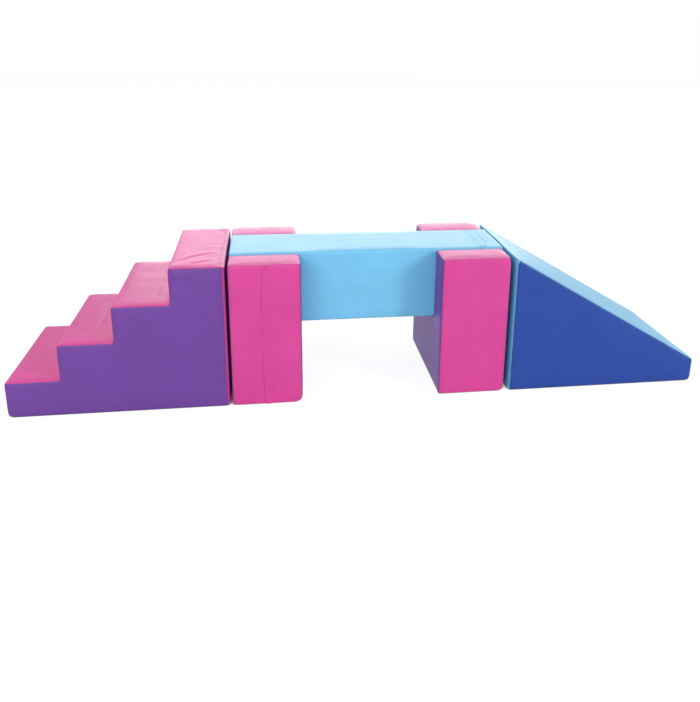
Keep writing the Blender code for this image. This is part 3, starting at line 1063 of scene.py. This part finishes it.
# Closing flaps. Each is sewn along one edge, and a hook tape inside it holds it to a loop
# tape on the cover. It has three ways: across from the sewn edge to the free one, along,
# and out from the cover. Its free edge is given as shares of its length and of its width.
STRAIGHT_EDGE = ((0, .97), (.28, 1), (.55, .985), (.8, 1.01), (1, .95))
FLAPS = {
    "stairs": dict(
        colour="pink", ways=((0, -1, 0), (0, 0, 1), (1, 0, 0)), edge=STRAIGHT_EDGE,
        corners=(0.004, 0.004), puckers=(), hem=0.0004, rests_on="stairs_back_panel_"),
    "left_post": dict(
        colour="pink", ways=((-1, 0, 0), (0, 0, 1), (0, -1, 0)),
        edge=((0, .93), (.2, .96), (.54, 1.06), (.79, 1), (.93, .88), (1, .76)),
        corners=(0.004, 0.006), puckers=(0.085, 0.108, 0.335), hem=0.0003,
        rests_on="left_post_front_panel_"),
    "right_post": dict(
        colour="pink", ways=((1, 0, 0), (0, 0, 1), (0, 1, 0)), edge=STRAIGHT_EDGE,
        corners=(0.004, 0.004), puckers=(0.21,), hem=0.0004, rests_on="right_post_rear_panel_"),
    "beam": dict(
        colour="sky", ways=((1, 0, 0), (0, 1, 0), (0, 0, 1)),
        edge=((0, .84), (.1, .92), (.25, .99), (.45, 1.02), (1, 1)),
        corners=(0.020, 0.004), puckers=(), hem=0.0013, rests_on="beam_"),
    "ramp": dict(
        colour="sky", ways=((0, -1, 0), (0, 0, 1), (-1, 0, 0)), edge=STRAIGHT_EDGE,
        corners=(0.004, 0.004), puckers=(), hem=0.0004, rests_on="ramp_back_panel_"),
}

# The strips that flaps and tapes start as: their grids, how much closer their steps are at
# their ends, and the bevel round a flap
FLAP_GRID = (40, 160)
TAPE_GRID = (6, 60)
STRIP_CROWDING = 0.85
FLAP_BEVEL = 0.0003

# The dip that the tapes lie in and how far its sides slope, the heights over the cover of
# the flap's outer face and of the loop tape's, and how thick both tapes are
DIP = 0.0012
DIP_SLOPE = 0.014
SEWN_HEIGHT = -0.0003
FLAP_HEIGHT = 0.0026 - DIP
LOOP_TAPE_HEIGHT = 0.0007 - DIP
TAPE_THICKNESS = 0.0005

# The wavy free edge, its hem, the puckers, and where the flap bends
WAVES_ALONG = 11
WAVE = 0.0006
WAVE_START = 0.45
FREE_FROM_TAPE = (-0.001, 0.003)
HEM_FROM_EDGE = 0.004
HEM_WIDTH = 0.0016
PUCKER = 0.0012
PUCKER_WIDTH = 0.012
PUCKER_SLANT = 0.25
PUCKER_START = (0.004, 0.014)
PUCKER_RIPPLE = 0.004

# How far a tape stays from a flap's free edge, and how far wear reaches from it
FROM_FREE_EDGE = 0.002
EDGE_WEAR_REACH = 0.002

# Hooks and loops: their spacing, how far every second row is shifted, how far they stay
# from the tape's edge, their sizes, and the plane that cuts a loop open to a hook
PILE_PITCH = 0.0034
PILE_SHIFT = 0.25
PILE_FROM_EDGE = 0.001
PILE_RADIUS = 0.0004
PILE_THREAD = 0.00009
HOOK_CUT = (1, 0, -1.2)

# Stitches: their spacing and size, how far inside a tape's two edges and from a flap's free
# edge they run, and how far from a seam and from their row's ends
STITCH_PITCH = 0.0042
STITCH_SIZE = (0.0015, 0.00042, 0.00034)
STITCHES_IN_TAPE = (0.0012, 0.0014)
STITCHES_FROM_EDGE = 0.003
STITCHES_FROM_SEAM = 0.0035
STITCHES_FROM_END = 0.012


class Flap:
    """Where a closing flap lies, and how it is shaped."""

    def __init__(self, module):
        self.module = module
        self.facts = FLAPS[module]
        self.node = f"{module}_closing_flap"
        self.body = f"{module}_flap"
        self.across, self.along, self.out = (Vector(way) for way in self.facts["ways"])
        ways = self.across + self.along + self.out
        node_low, node_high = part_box(self.node)
        self.corner = Vector([
            node_low[axis] if ways[axis] > 0 else node_high[axis] for axis in range(3)])
        size = node_high - node_low
        self.width = abs(size.dot(self.across))
        self.length = abs(size.dot(self.along))
        (self.tape_start, self.tape_end), _ = self.spans(f"{module}_hook_tape")

    def spans(self, node):
        """How far a node reaches across and along the flap."""
        ends = [corner - self.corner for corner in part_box(node)]
        return [sorted(end.dot(way) for end in ends) for way in (self.across, self.along)]

    def width_at(self, along):
        """The flap's width at each place along it, with its corners rounded."""
        shares, widths = zip(*self.facts["edge"])
        width = self.width * np.interp(along / self.length, shares, widths)
        for radius, from_end in zip(
                self.facts["corners"], (along, self.length - along)):
            past = np.maximum(radius - from_end, 0)
            width = width - radius + np.sqrt(np.maximum(radius ** 2 - past ** 2, 0))
        return width

    def height_at(self, across, along):
        """How far out the flap's outer face is: low where it is sewn, raised over its
        tape, and wavy along its free edge."""
        seed = sum(map(ord, self.module))
        width = self.width_at(along)
        height = SEWN_HEIGHT + ease(across, 0, self.tape_start) * (FLAP_HEIGHT - SEWN_HEIGHT)
        free = ease(across, *(self.tape_end + beyond for beyond in FREE_FROM_TAPE))
        wave = np.array(
            [noise.noise(Vector((place * WAVES_ALONG, seed, 0))) for place in along])
        height += ease(across / width, WAVE_START, 1) * WAVE * np.maximum(wave, 0)
        height -= free * WAVE * (1 - ease(wave, 0, 0.4))
        from_hem = width - HEM_FROM_EDGE - across
        height -= self.facts["hem"] * np.exp(-(from_hem / HEM_WIDTH) ** 2)
        for pucker in self.facts["puckers"]:
            from_it = along - pucker - across * PUCKER_SLANT
            height += (ease(across, *PUCKER_START) * PUCKER
                       * np.exp(-(from_it / PUCKER_WIDTH) ** 2)
                       * (0.5 + np.cos(from_it / PUCKER_RIPPLE)))
        return height

    def points(self, across, along, height):
        return (np.array(self.corner) + np.outer(across, self.across)
                + np.outer(along, self.along) + np.outer(height, self.out))

    def rests_on(self):
        return [item.name for item in bpy.data.objects
                if item.name.startswith(self.facts["rests_on"]) and "panel" in item.name]

    def bend(self, item):
        """Bakes the piece's transform into its mesh."""
        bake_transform(item)


def add_strip(name, flap, steps, shaped):
    """A grid laid as a strip over a flap's place. Its steps are closer at its ends."""
    deselect_all()
    bpy.ops.mesh.primitive_grid_add(
        x_subdivisions=steps[0], y_subdivisions=steps[1], size=1)
    strip = bpy.context.object
    strip.name = name
    across, along = (places(strip)[:, :2] + 0.5).T
    along = along - STRIP_CROWDING * np.sin(2 * math.pi * along) / (2 * math.pi)
    move_to(strip, flap.points(*shaped(across, along)))
    if flap.across.cross(flap.along).dot(flap.out) < 0:
        edit_mode()
        select_all()
        bpy.ops.mesh.flip_normals()
        object_mode()
    return strip


def make_flap(module):
    flap = Flap(module)
    colour = flap.facts["colour"]

    def shaped(across, along):
        along = along * flap.length
        across = across * flap.width_at(along)
        return across, along, flap.height_at(across, along)

    piece = add_strip(flap.node + "_cloth", flap, FLAP_GRID, shaped)
    offset = places(piece) - np.array(flap.corner)
    across, along = offset @ np.array(flap.across), offset @ np.array(flap.along)
    from_free = flap.width_at(along) - across
    keep_attribute(piece, "seam", np.zeros(len(across)))
    keep_attribute(piece, "edge", np.exp(-from_free / EDGE_WEAR_REACH))
    apply_modifier(piece, "SOLIDIFY", thickness=covers().cloth, offset=-1)
    apply_modifier(
        piece, "BEVEL", width=FLAP_BEVEL, segments=2, limit_method="ANGLE",
        angle_limit=SMOOTH_ANGLE)
    smooth(piece)
    piece.data.materials.append(finish_of(colour))
    flap.bend(piece)
    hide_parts(flap.node)


def make_tapes(module, loop, hook):
    """The hook tape inside a flap, and the loop tape on the cover under it."""
    flap = Flap(module)
    for kind, height, body, thread in (
            ("hook", FLAP_HEIGHT - covers().cloth, flap.body, hook),
            ("loop", LOOP_TAPE_HEIGHT, module, loop)):
        node = f"{module}_{kind}_tape"
        (start, end), (foot, head) = flap.spans(node)

        def shaped(across, along):
            along = foot + along * (head - foot)
            edge = np.minimum(end, flap.width_at(along) - FROM_FREE_EDGE)
            return start + across * (edge - start), along, np.full(len(along), height)

        tape = add_strip(node + "_strip", flap, TAPE_GRID, shaped)
        apply_modifier(tape, "SOLIDIFY", thickness=TAPE_THICKNESS, offset=-1)
        smooth(tape)
        dress(tape, finish_of("tape"), body, [node])
        out = flap.out * (1 if kind == "loop" else -1)
        level = height if kind == "loop" else height - TAPE_THICKNESS
        spots = []
        rows, columns = (round(way / PILE_PITCH) for way in (head - foot, end - start))
        for row in range(rows):
            along = foot + (row + 0.5) * (head - foot) / rows
            edge = min(end, flap.width_at(np.array([along]))[0] - FROM_FREE_EDGE)
            for column in range(columns):
                shifted = column + 0.5 + PILE_SHIFT * (row % 2)
                across = start + shifted * (end - start) / columns
                if across < edge - PILE_FROM_EDGE:
                    point = flap.points([across], [along], [level])[0]
                    spots.append((Vector(point), flap.along, out))
        pile = scatter(f"{module}_{kind}s", thread, spots)
        pile.data.materials.append(finish_of("tape"))
        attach(pile, body)


def model_thread(name, hooked):
    """One loop of a tape's pile, or one hook, which is a loop with its end cut off."""
    deselect_all()
    bpy.ops.mesh.primitive_torus_add(
        major_segments=10, minor_segments=4, major_radius=PILE_RADIUS,
        minor_radius=PILE_THREAD, rotation=(math.pi / 2, 0, 0))
    bpy.ops.object.transform_apply(location=True, rotation=True, scale=True)
    edit_mode()
    cut_across(2, 0, clear_inner=True, use_fill=True)
    if hooked:
        select_all()
        bpy.ops.mesh.bisect(
            plane_co=(0, 0, 0), plane_no=HOOK_CUT, clear_outer=True, use_fill=True)
    object_mode()
    model = bpy.context.object
    model.name = name
    return model


def model_stitch():
    """One stitch: a short thread, thick in the middle, that lies on the cloth."""
    deselect_all()
    bpy.ops.mesh.primitive_uv_sphere_add(
        segments=8, ring_count=6, radius=1, scale=STITCH_SIZE)
    bpy.ops.object.transform_apply(location=True, rotation=True, scale=True)
    model = bpy.context.object
    model.name = "stitch"
    return model


def scatter(name, model, spots):
    """One piece of many copies of a model. Each spot is a place, and the ways that the
    model's length and its upper side take there."""
    corners = places(model)
    faces = [tuple(face.vertices) for face in model.data.polygons]
    points, copies = [], []
    for order, (place, along, out) in enumerate(spots):
        turn = np.array((along, out.cross(along), out))
        points.append(corners @ turn + np.array(place))
        copies += [tuple(order * len(corners) + corner for corner in face)
                   for face in faces]
    mesh = bpy.data.meshes.new(name)
    mesh.from_pydata(np.concatenate(points).tolist(), [], copies)
    piece = bpy.data.objects.new(name, mesh)
    bpy.context.scene.collection.objects.link(piece)
    smooth(piece)
    return piece


def sew_flap(module, stitch):
    """Rows of stitches that hold a flap's hook tape to it."""
    flap = Flap(module)
    spots = []
    from_start, from_end = STITCHES_IN_TAPE
    for across in (flap.tape_start + from_start, flap.tape_end - from_end):
        for order in range(1, int(flap.length / STITCH_PITCH) - 1):
            along = np.array([(order + 0.5) * STITCH_PITCH])
            spot = np.minimum(across, flap.width_at(along) - STITCHES_FROM_EDGE)
            height = flap.height_at(spot, along)
            spots.append((Vector(flap.points(spot, along, height)[0]), flap.along, flap.out))
    thread = scatter(f"{module}_flap_stitches", stitch, spots)
    thread.data.materials.append(thread_finish(flap.facts["colour"]))
    flap.bend(thread)


def stitch_rows():
    """The rows of stitches beside seams: the module, panel and colour, and a line of
    points."""
    rows = []
    inset = STITCHES_FROM_END
    from_side = SEAM_FROM_CORNER + STITCHES_FROM_SEAM
    for post, (first, last) in (("left_post", LEFT_POST), ("right_post", RIGHT_POST)):
        for side in (-1, 1):
            seam = side * (last.y - from_side)
            rows.append((post, f"{post}_top_panel", "pink", (
                (first.x + inset, seam, TOP), (last.x - inset, seam, TOP))))
    first, last = STAIRS
    seam = last.x - from_side
    rows.append(("stairs", "stairs_step_panel", "pink", (
        (seam, first.y + inset, TOP), (seam, last.y - inset, TOP))))
    first, last = RAMP
    seam = SLOPE_SEAM + STITCHES_FROM_SEAM
    level = TOP - (seam - first.x) * (last.z - first.z - TOE) / (last.x - first.x)
    rows.append(("ramp", "ramp_slope_panel", "sky", (
        (seam, first.y + inset, level), (seam, last.y - inset, level))))
    first, last = BEAM
    seam = BEAM_SLIT - STITCHES_FROM_SEAM
    rows.append(("beam", "beam_wrap_panel", "sky", (
        (seam, first.y, last.z - inset), (seam, first.y, first.z + inset),
        (seam, first.y + inset, first.z), (seam, last.y - inset, first.z),
        (seam, last.y, first.z + inset), (seam, last.y, last.z - inset))))
    return rows


def sew_seams(stitch):
    for module, panel, colour, line in stitch_rows():
        cloth = bpy.data.objects[panel]
        spots = []
        for start, end in zip(line, line[1:]):
            start, end = Vector(start), Vector(end)
            way = (end - start).normalized()
            for order in range(int((end - start).length / STITCH_PITCH)):
                point = start + way * (order + 0.5) * STITCH_PITCH
                _, spot, out, _ = cloth.closest_point_on_mesh(point)
                along = (way - out * way.dot(out)).normalized()
                spots.append((spot, along, out))
        thread = scatter(panel.replace("panel", "stitches"), stitch, spots)
        thread.data.materials.append(thread_finish(colour))
        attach(thread, module)


def cut_foam(module):
    """Cuts a module's foam from the same rounded block as its cover, a little smaller."""
    facts = MODULES[module]
    first, last = facts["corners"]
    for node in facts["foam"]:
        block = facts["block"](FOAM_RADIUS)
        select_all()
        bpy.ops.transform.shrink_fatten(value=-FOAM_INSET, use_even_offset=True)
        node_low, node_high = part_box(node)
        if module == "beam":
            cut_across(0, node_high.x - FOAM_INSET, clear_outer=True, use_fill=True)
        for axis in (1, 2):
            if node_low[axis] > first[axis] + REACH:
                cut_across(axis, node_low[axis], clear_inner=True, use_fill=True)
            if node_high[axis] < last[axis] - REACH:
                cut_across(axis, node_high[axis], clear_outer=True, use_fill=True)
        object_mode()
        block.name = node + "_block"
        smooth(block)
        dress(block, finish_of("foam"), module, [node])


# Finishes

# Distance between nodes in the editor
NODE_SPACING = 200


def add_node(tree, kind, settings=(), **inputs):
    """Adds a node. An input's value is a number, a colour or another node's output."""
    node = tree.nodes.new(kind)
    node.location = (NODE_SPACING * len(tree.nodes), 0)
    for name, value in dict(settings).items():
        setattr(node, name, value)
    for name, value in inputs.items():
        socket = node.inputs[int(name[1:]) if name[0] == "_" else name.replace("_", " ")]
        if isinstance(value, bpy.types.NodeSocket):
            tree.links.new(value, socket)
        else:
            socket.default_value = value
    return node


def to_range(tree, value, start, end, first=0.0, last=1.0):
    return add_node(
        tree, "ShaderNodeMapRange", Value=value, From_Min=first, From_Max=last,
        To_Min=start, To_Max=end).outputs["Result"]


def calculate(tree, kind, first, second):
    return add_node(
        tree, "ShaderNodeMath", {"operation": kind}, _0=first, _1=second).outputs[0]


class Finish:
    """A material in one of the settings' colours, and what is laid on it step by step."""

    def __init__(self, name, colour):
        self.material = bpy.data.materials.new(name)
        self.material.use_nodes = True
        self.tree = self.material.node_tree
        self.shader = self.tree.nodes["Principled BSDF"]
        self.spot = add_node(self.tree, "ShaderNodeTexCoord").outputs["Object"]
        self.colour = tuple(getattr(colours(), colour))
        self.under = {}

    def noise(self, scale, detail=2.0, roughness=0.5):
        return add_node(
            self.tree, "ShaderNodeTexNoise", Vector=self.spot, Scale=scale, Detail=detail,
            Roughness=roughness).outputs["Fac"]

    def cells(self, scale, settings=(), **inputs):
        return add_node(
            self.tree, "ShaderNodeTexVoronoi", settings, Vector=self.spot, Scale=scale,
            **inputs).outputs["Distance"]

    def kept(self, name):
        """What ruffle_cover or make_flap kept of each point."""
        return add_node(
            self.tree, "ShaderNodeAttribute", {"attribute_name": name}).outputs["Fac"]

    def to_range(self, value, start, end, first=0.0, last=1.0):
        return to_range(self.tree, value, start, end, first, last)

    def times(self, first, second):
        return calculate(self.tree, "MULTIPLY", first, second)

    def tint(self, strength, grey=0.0):
        """The colour made lighter or darker, and drawn towards grey."""
        level = sum(self.colour) / 3
        return (*(min(1, (part + (level - part) * grey) * strength)
                  for part in self.colour), 1)

    def mix(self, share, first, second):
        self.base = add_node(
            self.tree, "ShaderNodeMix", {"data_type": "RGBA"},
            _0=share, _6=first, _7=second).outputs[2]
        self.tree.links.new(self.base, self.shader.inputs["Base Color"])

    def ground(self, share, first, second):
        """Two strengths of the colour, shared out by a pattern."""
        self.mix(share, self.tint(first), self.tint(second))

    def overlay(self, share, strength, grey=0.0):
        """A tint of the colour over what is there, where a pattern has it."""
        self.mix(share, self.base, self.tint(strength, grey))

    def roughen(self, pattern, *ends):
        self.tree.links.new(self.to_range(pattern, *ends), self.shader.inputs["Roughness"])

    def bump(self, pattern, strength, distance):
        """A bump over those that are there."""
        normal = add_node(
            self.tree, "ShaderNodeBump", Strength=strength, Distance=distance,
            Height=pattern, **self.under).outputs["Normal"]
        self.under = {"Normal": normal}
        self.tree.links.new(normal, self.shader.inputs["Normal"])


def coated_cloth(finish):
    """Coated cloth: a fine pebble grain, soft unevenness, darkening beside its seams that is
    partly dust and partly painted shade, and wear along its edges."""
    clouds = finish.noise(6, detail=4)
    smudges = finish.noise(38, detail=5, roughness=0.6)
    grain = finish.cells(820.0, {"feature": "SMOOTH_F1"}, Smoothness=0.6)
    finish.ground(finish.to_range(clouds, 0, 1, 0.3, 0.7), 0.95, 1.05)
    finish.overlay(finish.to_range(smudges, 0, 0.5, 0.45, 0.8), 1.04, 0.05)
    worn = finish.times(
        finish.kept("edge"), finish.to_range(smudges, 0.05, 0.4, 0.35, 0.7))
    finish.overlay(worn, 1.12, 0.12)
    # Darker beside the seams: partly dust, partly shade painted into the seam grooves
    seam_dust_and_shade = finish.times(finish.kept("seam"), 0.35)
    finish.overlay(seam_dust_and_shade, 0.55)
    finish.roughen(smudges, 0.39, 0.45, 0.3, 0.7)
    finish.bump(finish.noise(17, detail=3), 0.35, 0.0016)
    finish.bump(grain, 0.22, 0.00022)
    finish.bump(finish.noise(1500), 0.12, 0.0001)
    finish.shader.inputs["Specular IOR Level"].default_value = 0.4


def sole_cloth(finish):
    """Non-slip cloth with rows of small rubber dots."""
    dots = finish.cells(170.0, Randomness=0.0)
    dot = finish.to_range(dots, 1, 0, 0.2, 0.34)
    finish.ground(finish.noise(25, detail=4), 0.8, 1.3)
    finish.overlay(dot, 0.6)
    finish.roughen(dot, 0.8, 0.55)
    finish.bump(dot, 0.6, 0.0006)
    finish.bump(finish.noise(900), 0.3, 0.0002)


def open_foam(finish):
    """Foam with open pores."""
    pores = finish.cells(520.0)
    finish.ground(finish.noise(12, detail=4), 0.88, 1.06)
    finish.overlay(finish.to_range(pores, 0.5, 0, 0.05, 0.35), 0.55)
    finish.roughen(pores, 0.98, 0.85)
    finish.bump(pores, 0.7, 0.0009)


def woven_tape(finish):
    """Woven tape, with fluff on its threads."""
    threads = finish.cells(900.0, Randomness=0.25)
    weave = finish.to_range(threads, 1, 0, 0.1, 0.55)
    fluff = finish.noise(700, detail=4)
    finish.ground(weave, 0.6, 1.5)
    finish.overlay(fluff, 1.8, 0.4)
    finish.roughen(fluff, 0.7, 0.95)
    finish.bump(weave, 0.5, 0.0003)


def sewing_thread(finish):
    """Thread of twisted strands, a little lighter than the cloth that it sews."""
    strands = finish.noise(2600)
    soiled = finish.noise(60, detail=3)
    finish.ground(strands, 0.85, 1.25)
    finish.overlay(finish.to_range(soiled, 0, 0.3, 0.4, 0.7), 0.8, 0.2)
    finish.roughen(strands, 0.5, 0.7)
    finish.bump(strands, 0.4, 0.0001)


FINISHES = {"sole": sole_cloth, "foam": open_foam, "tape": woven_tape}


def made_once(name, colour, lay):
    """The material of that name, made the first time that it is needed."""
    if name not in bpy.data.materials:
        lay(Finish(name, colour))
    return bpy.data.materials[name]


def finish_of(colour):
    return made_once(SLOTS[colour] + "_finish", colour, FINISHES.get(colour, coated_cloth))


def thread_finish(colour):
    return made_once(
        SLOTS[colour].replace("cover", "thread_finish"), colour, sewing_thread)


# Stage

# The camera's sensor and lens in millimetres, and its shift in shares of the picture
SENSOR = 36
LENS = 38.773
SHIFT = (-0.0475, -0.1357)

# The floor, its gap under the object, how much of it shows in a gloss, and how far the
# shadow painted round the object reaches on it
FLOOR_SIZE = 40
FLOOR_GAP = 0.0002
FLOOR_MIRRORED = 0.7
SHADOW_REACH = 0.25

MIDDLE = Vector((0, 0, 0.3))
KEY_PLACE = MIDDLE + 10.0 * Vector((0.685, -0.622, 0.373))

# Each lamp's place, the point that it is aimed at, and its size
LAMPS = {
    "key": (KEY_PLACE, MIDDLE, (2.3, 2.3)),
    "fill": ((-2.5, -6, 2.8), MIDDLE, (4, 3)),
    "back": ((3, 16, 2.2), (3, 0, 2.2), (14, 3.2)),
    "high_back": ((3, 16, 7), (3, 0, 2), (14, 4)),
    "top": ((-2.6, -0.4, 3.4), (-0.6, 0, 0.3), (2.4, 2.4)),
}


def add_lamp(name, place, target, size):
    bpy.ops.object.light_add(type="AREA", location=place)
    lamp = bpy.context.object
    lamp.name = name + "_lamp"
    lamp.data.shape = "RECTANGLE"
    lamp.data.size, lamp.data.size_y = size
    lamp.data.energy = getattr(studio(), name + "_power")
    lamp.visible_camera = False
    way = Vector(target) - lamp.location
    lamp.rotation_euler = way.to_track_quat("-Z", "Y").to_euler()


def add_camera():
    settings = studio()
    bpy.ops.object.camera_add(location=settings.camera_place)
    camera = bpy.context.object
    turn = (Matrix.Rotation(-settings.camera_turn, 4, "Z")
            @ Matrix.Rotation(math.pi / 2 + settings.camera_tilt, 4, "X")
            @ Matrix.Rotation(settings.camera_roll, 4, "Z"))
    camera.rotation_euler = turn.to_euler()
    camera.data.sensor_width = SENSOR
    camera.data.lens = LENS
    camera.data.shift_x, camera.data.shift_y = SHIFT
    bpy.context.scene.camera = camera


def plain(level):
    """A grey or white, the same in red, green and blue."""
    return (level, level, level, 1)


def add_floor():
    """A floor that the camera sees as white, with a faint cast shadow of the object and a
    painted shadow where the object hides the sky nearby.
    """
    deselect_all()
    bpy.ops.mesh.primitive_plane_add(size=FLOOR_SIZE, location=(0, 0, FLOOR - FLOOR_GAP))
    floor = bpy.context.object
    floor.name = "studio_floor"
    material = bpy.data.materials.new("studio_floor_finish")
    material.use_nodes = True
    tree = material.node_tree
    tree.nodes.clear()
    path = add_node(tree, "ShaderNodeLightPath").outputs
    mirrored = calculate(tree, "MULTIPLY", path["Is Glossy Ray"], FLOOR_MIRRORED)
    seen = calculate(tree, "MAXIMUM", path["Is Camera Ray"], mirrored)
    # The glow dims where the object hides the sky nearby: a painted shadow on the floor
    open_sky = add_node(
        tree, "ShaderNodeAmbientOcclusion", Distance=SHADOW_REACH).outputs["AO"]
    lit = add_node(tree, "ShaderNodeBsdfDiffuse", Color=plain(0.82))
    faint = add_node(tree, "ShaderNodeBsdfDiffuse", Color=plain(0.25))
    glow = add_node(
        tree, "ShaderNodeEmission", Strength=to_range(tree, open_sky, 0, 0.86, 0.04, 0.3))
    white = add_node(
        tree, "ShaderNodeAddShader", _0=faint.outputs[0], _1=glow.outputs[0])
    mixed = add_node(
        tree, "ShaderNodeMixShader", _0=seen, _1=lit.outputs[0], _2=white.outputs[0])
    add_node(tree, "ShaderNodeOutputMaterial", Surface=mixed.outputs[0])
    material.cycles.emission_sampling = "NONE"
    floor.data.materials.append(material)


def light_surround():
    """Soft light from all round, which shows as white."""
    world = bpy.data.worlds.new("studio_surround")
    bpy.context.scene.world = world
    world.use_nodes = True
    tree = world.node_tree
    tree.nodes.clear()
    path = add_node(tree, "ShaderNodeLightPath").outputs
    seen = calculate(tree, "MAXIMUM", path["Is Camera Ray"], path["Is Transmission Ray"])
    seen = calculate(tree, "MAXIMUM", seen, path["Is Glossy Ray"])
    light = add_node(
        tree, "ShaderNodeBackground", Color=plain(1),
        Strength=to_range(tree, seen, studio().surround, 1.0))
    add_node(tree, "ShaderNodeOutputWorld", Surface=light.outputs[0])


# Operators

class CLIMBER_OT_stage(bpy.types.Operator):
    """Set up the floor, lamps, surround and camera"""
    bl_idname = "climber.stage"
    bl_label = "Stage"

    def execute(self, context):
        context.scene.view_settings.view_transform = "Standard"
        add_camera()
        for name, facts in LAMPS.items():
            add_lamp(name, *facts)
        light_surround()
        add_floor()
        return {"FINISHED"}


class CLIMBER_OT_foam(bpy.types.Operator):
    """Cut the foam blocks of every module"""
    bl_idname = "climber.foam"
    bl_label = "Foam"

    def execute(self, context):
        for module in MODULES:
            cut_foam(module)
        return {"FINISHED"}


class CLIMBER_OT_stairs(bpy.types.Operator):
    """Sew the stairs' cover"""
    bl_idname = "climber.stairs"
    bl_label = "Stairs cover"

    def execute(self, context):
        sew_module("stairs")
        return {"FINISHED"}


class CLIMBER_OT_posts(bpy.types.Operator):
    """Sew the covers of both posts"""
    bl_idname = "climber.posts"
    bl_label = "Post covers"

    def execute(self, context):
        sew_module("left_post")
        sew_module("right_post")
        return {"FINISHED"}


class CLIMBER_OT_beam(bpy.types.Operator):
    """Sew the beam's cover"""
    bl_idname = "climber.beam"
    bl_label = "Beam cover"

    def execute(self, context):
        sew_module("beam")
        return {"FINISHED"}


class CLIMBER_OT_ramp(bpy.types.Operator):
    """Sew the ramp's cover"""
    bl_idname = "climber.ramp"
    bl_label = "Ramp cover"

    def execute(self, context):
        sew_module("ramp")
        return {"FINISHED"}


class CLIMBER_OT_flaps(bpy.types.Operator):
    """Lay the closing flap of every cover"""
    bl_idname = "climber.flaps"
    bl_label = "Closing flaps"

    def execute(self, context):
        for module in FLAPS:
            make_flap(module)
        return {"FINISHED"}


class CLIMBER_OT_tapes(bpy.types.Operator):
    """Lay the hook and loop tapes under the flaps"""
    bl_idname = "climber.tapes"
    bl_label = "Hook and loop tapes"

    def execute(self, context):
        loop, hook = model_thread("loop", False), model_thread("hook", True)
        for module in FLAPS:
            make_tapes(module, loop, hook)
        bpy.data.objects.remove(loop)
        bpy.data.objects.remove(hook)
        return {"FINISHED"}


class CLIMBER_OT_stitches(bpy.types.Operator):
    """Sew the flaps, and the rows beside the seams"""
    bl_idname = "climber.stitches"
    bl_label = "Stitches"

    def execute(self, context):
        stitch = model_stitch()
        for module in FLAPS:
            sew_flap(module, stitch)
        sew_seams(stitch)
        bpy.data.objects.remove(stitch)
        return {"FINISHED"}


OPERATORS = (
    CLIMBER_OT_stage, CLIMBER_OT_foam, CLIMBER_OT_stairs, CLIMBER_OT_posts,
    CLIMBER_OT_beam, CLIMBER_OT_ramp, CLIMBER_OT_flaps, CLIMBER_OT_tapes,
    CLIMBER_OT_stitches)


class CLIMBER_PT_panel(bpy.types.Panel):
    """Lists the climber's operators and settings"""
    bl_idname = "CLIMBER_PT_panel"
    bl_label = "Foam Climber"
    bl_space_type = "VIEW_3D"
    bl_region_type = "UI"
    bl_category = "Foam Climber"

    def draw(self, context):
        for operator in OPERATORS:
            self.layout.operator(operator.bl_idname)
        for group in (covers(), colours(), studio()):
            box = self.layout.box()
            for name in group.__annotations__:
                box.prop(group, name)


GROUPS = {
    "climber_covers": ClimberCovers,
    "climber_colours": ClimberColours,
    "climber_studio": ClimberStudio,
}


def register():
    for name, group in GROUPS.items():
        bpy.utils.register_class(group)
        setattr(bpy.types.Scene, name, PointerProperty(type=group))
    for each in (*OPERATORS, CLIMBER_PT_panel):
        bpy.utils.register_class(each)


def unregister():
    for each in (CLIMBER_PT_panel, *reversed(OPERATORS)):
        bpy.utils.unregister_class(each)
    for name, group in reversed(list(GROUPS.items())):
        delattr(bpy.types.Scene, name)
        bpy.utils.unregister_class(group)


def main():
    register()
    bpy.ops.climber.stage()
    bpy.ops.climber.foam()
    bpy.ops.climber.stairs()
    bpy.ops.climber.posts()
    bpy.ops.climber.beam()
    bpy.ops.climber.ramp()
    bpy.ops.climber.flaps()
    bpy.ops.climber.tapes()
    bpy.ops.climber.stitches()


if __name__ == "__main__":
    main()
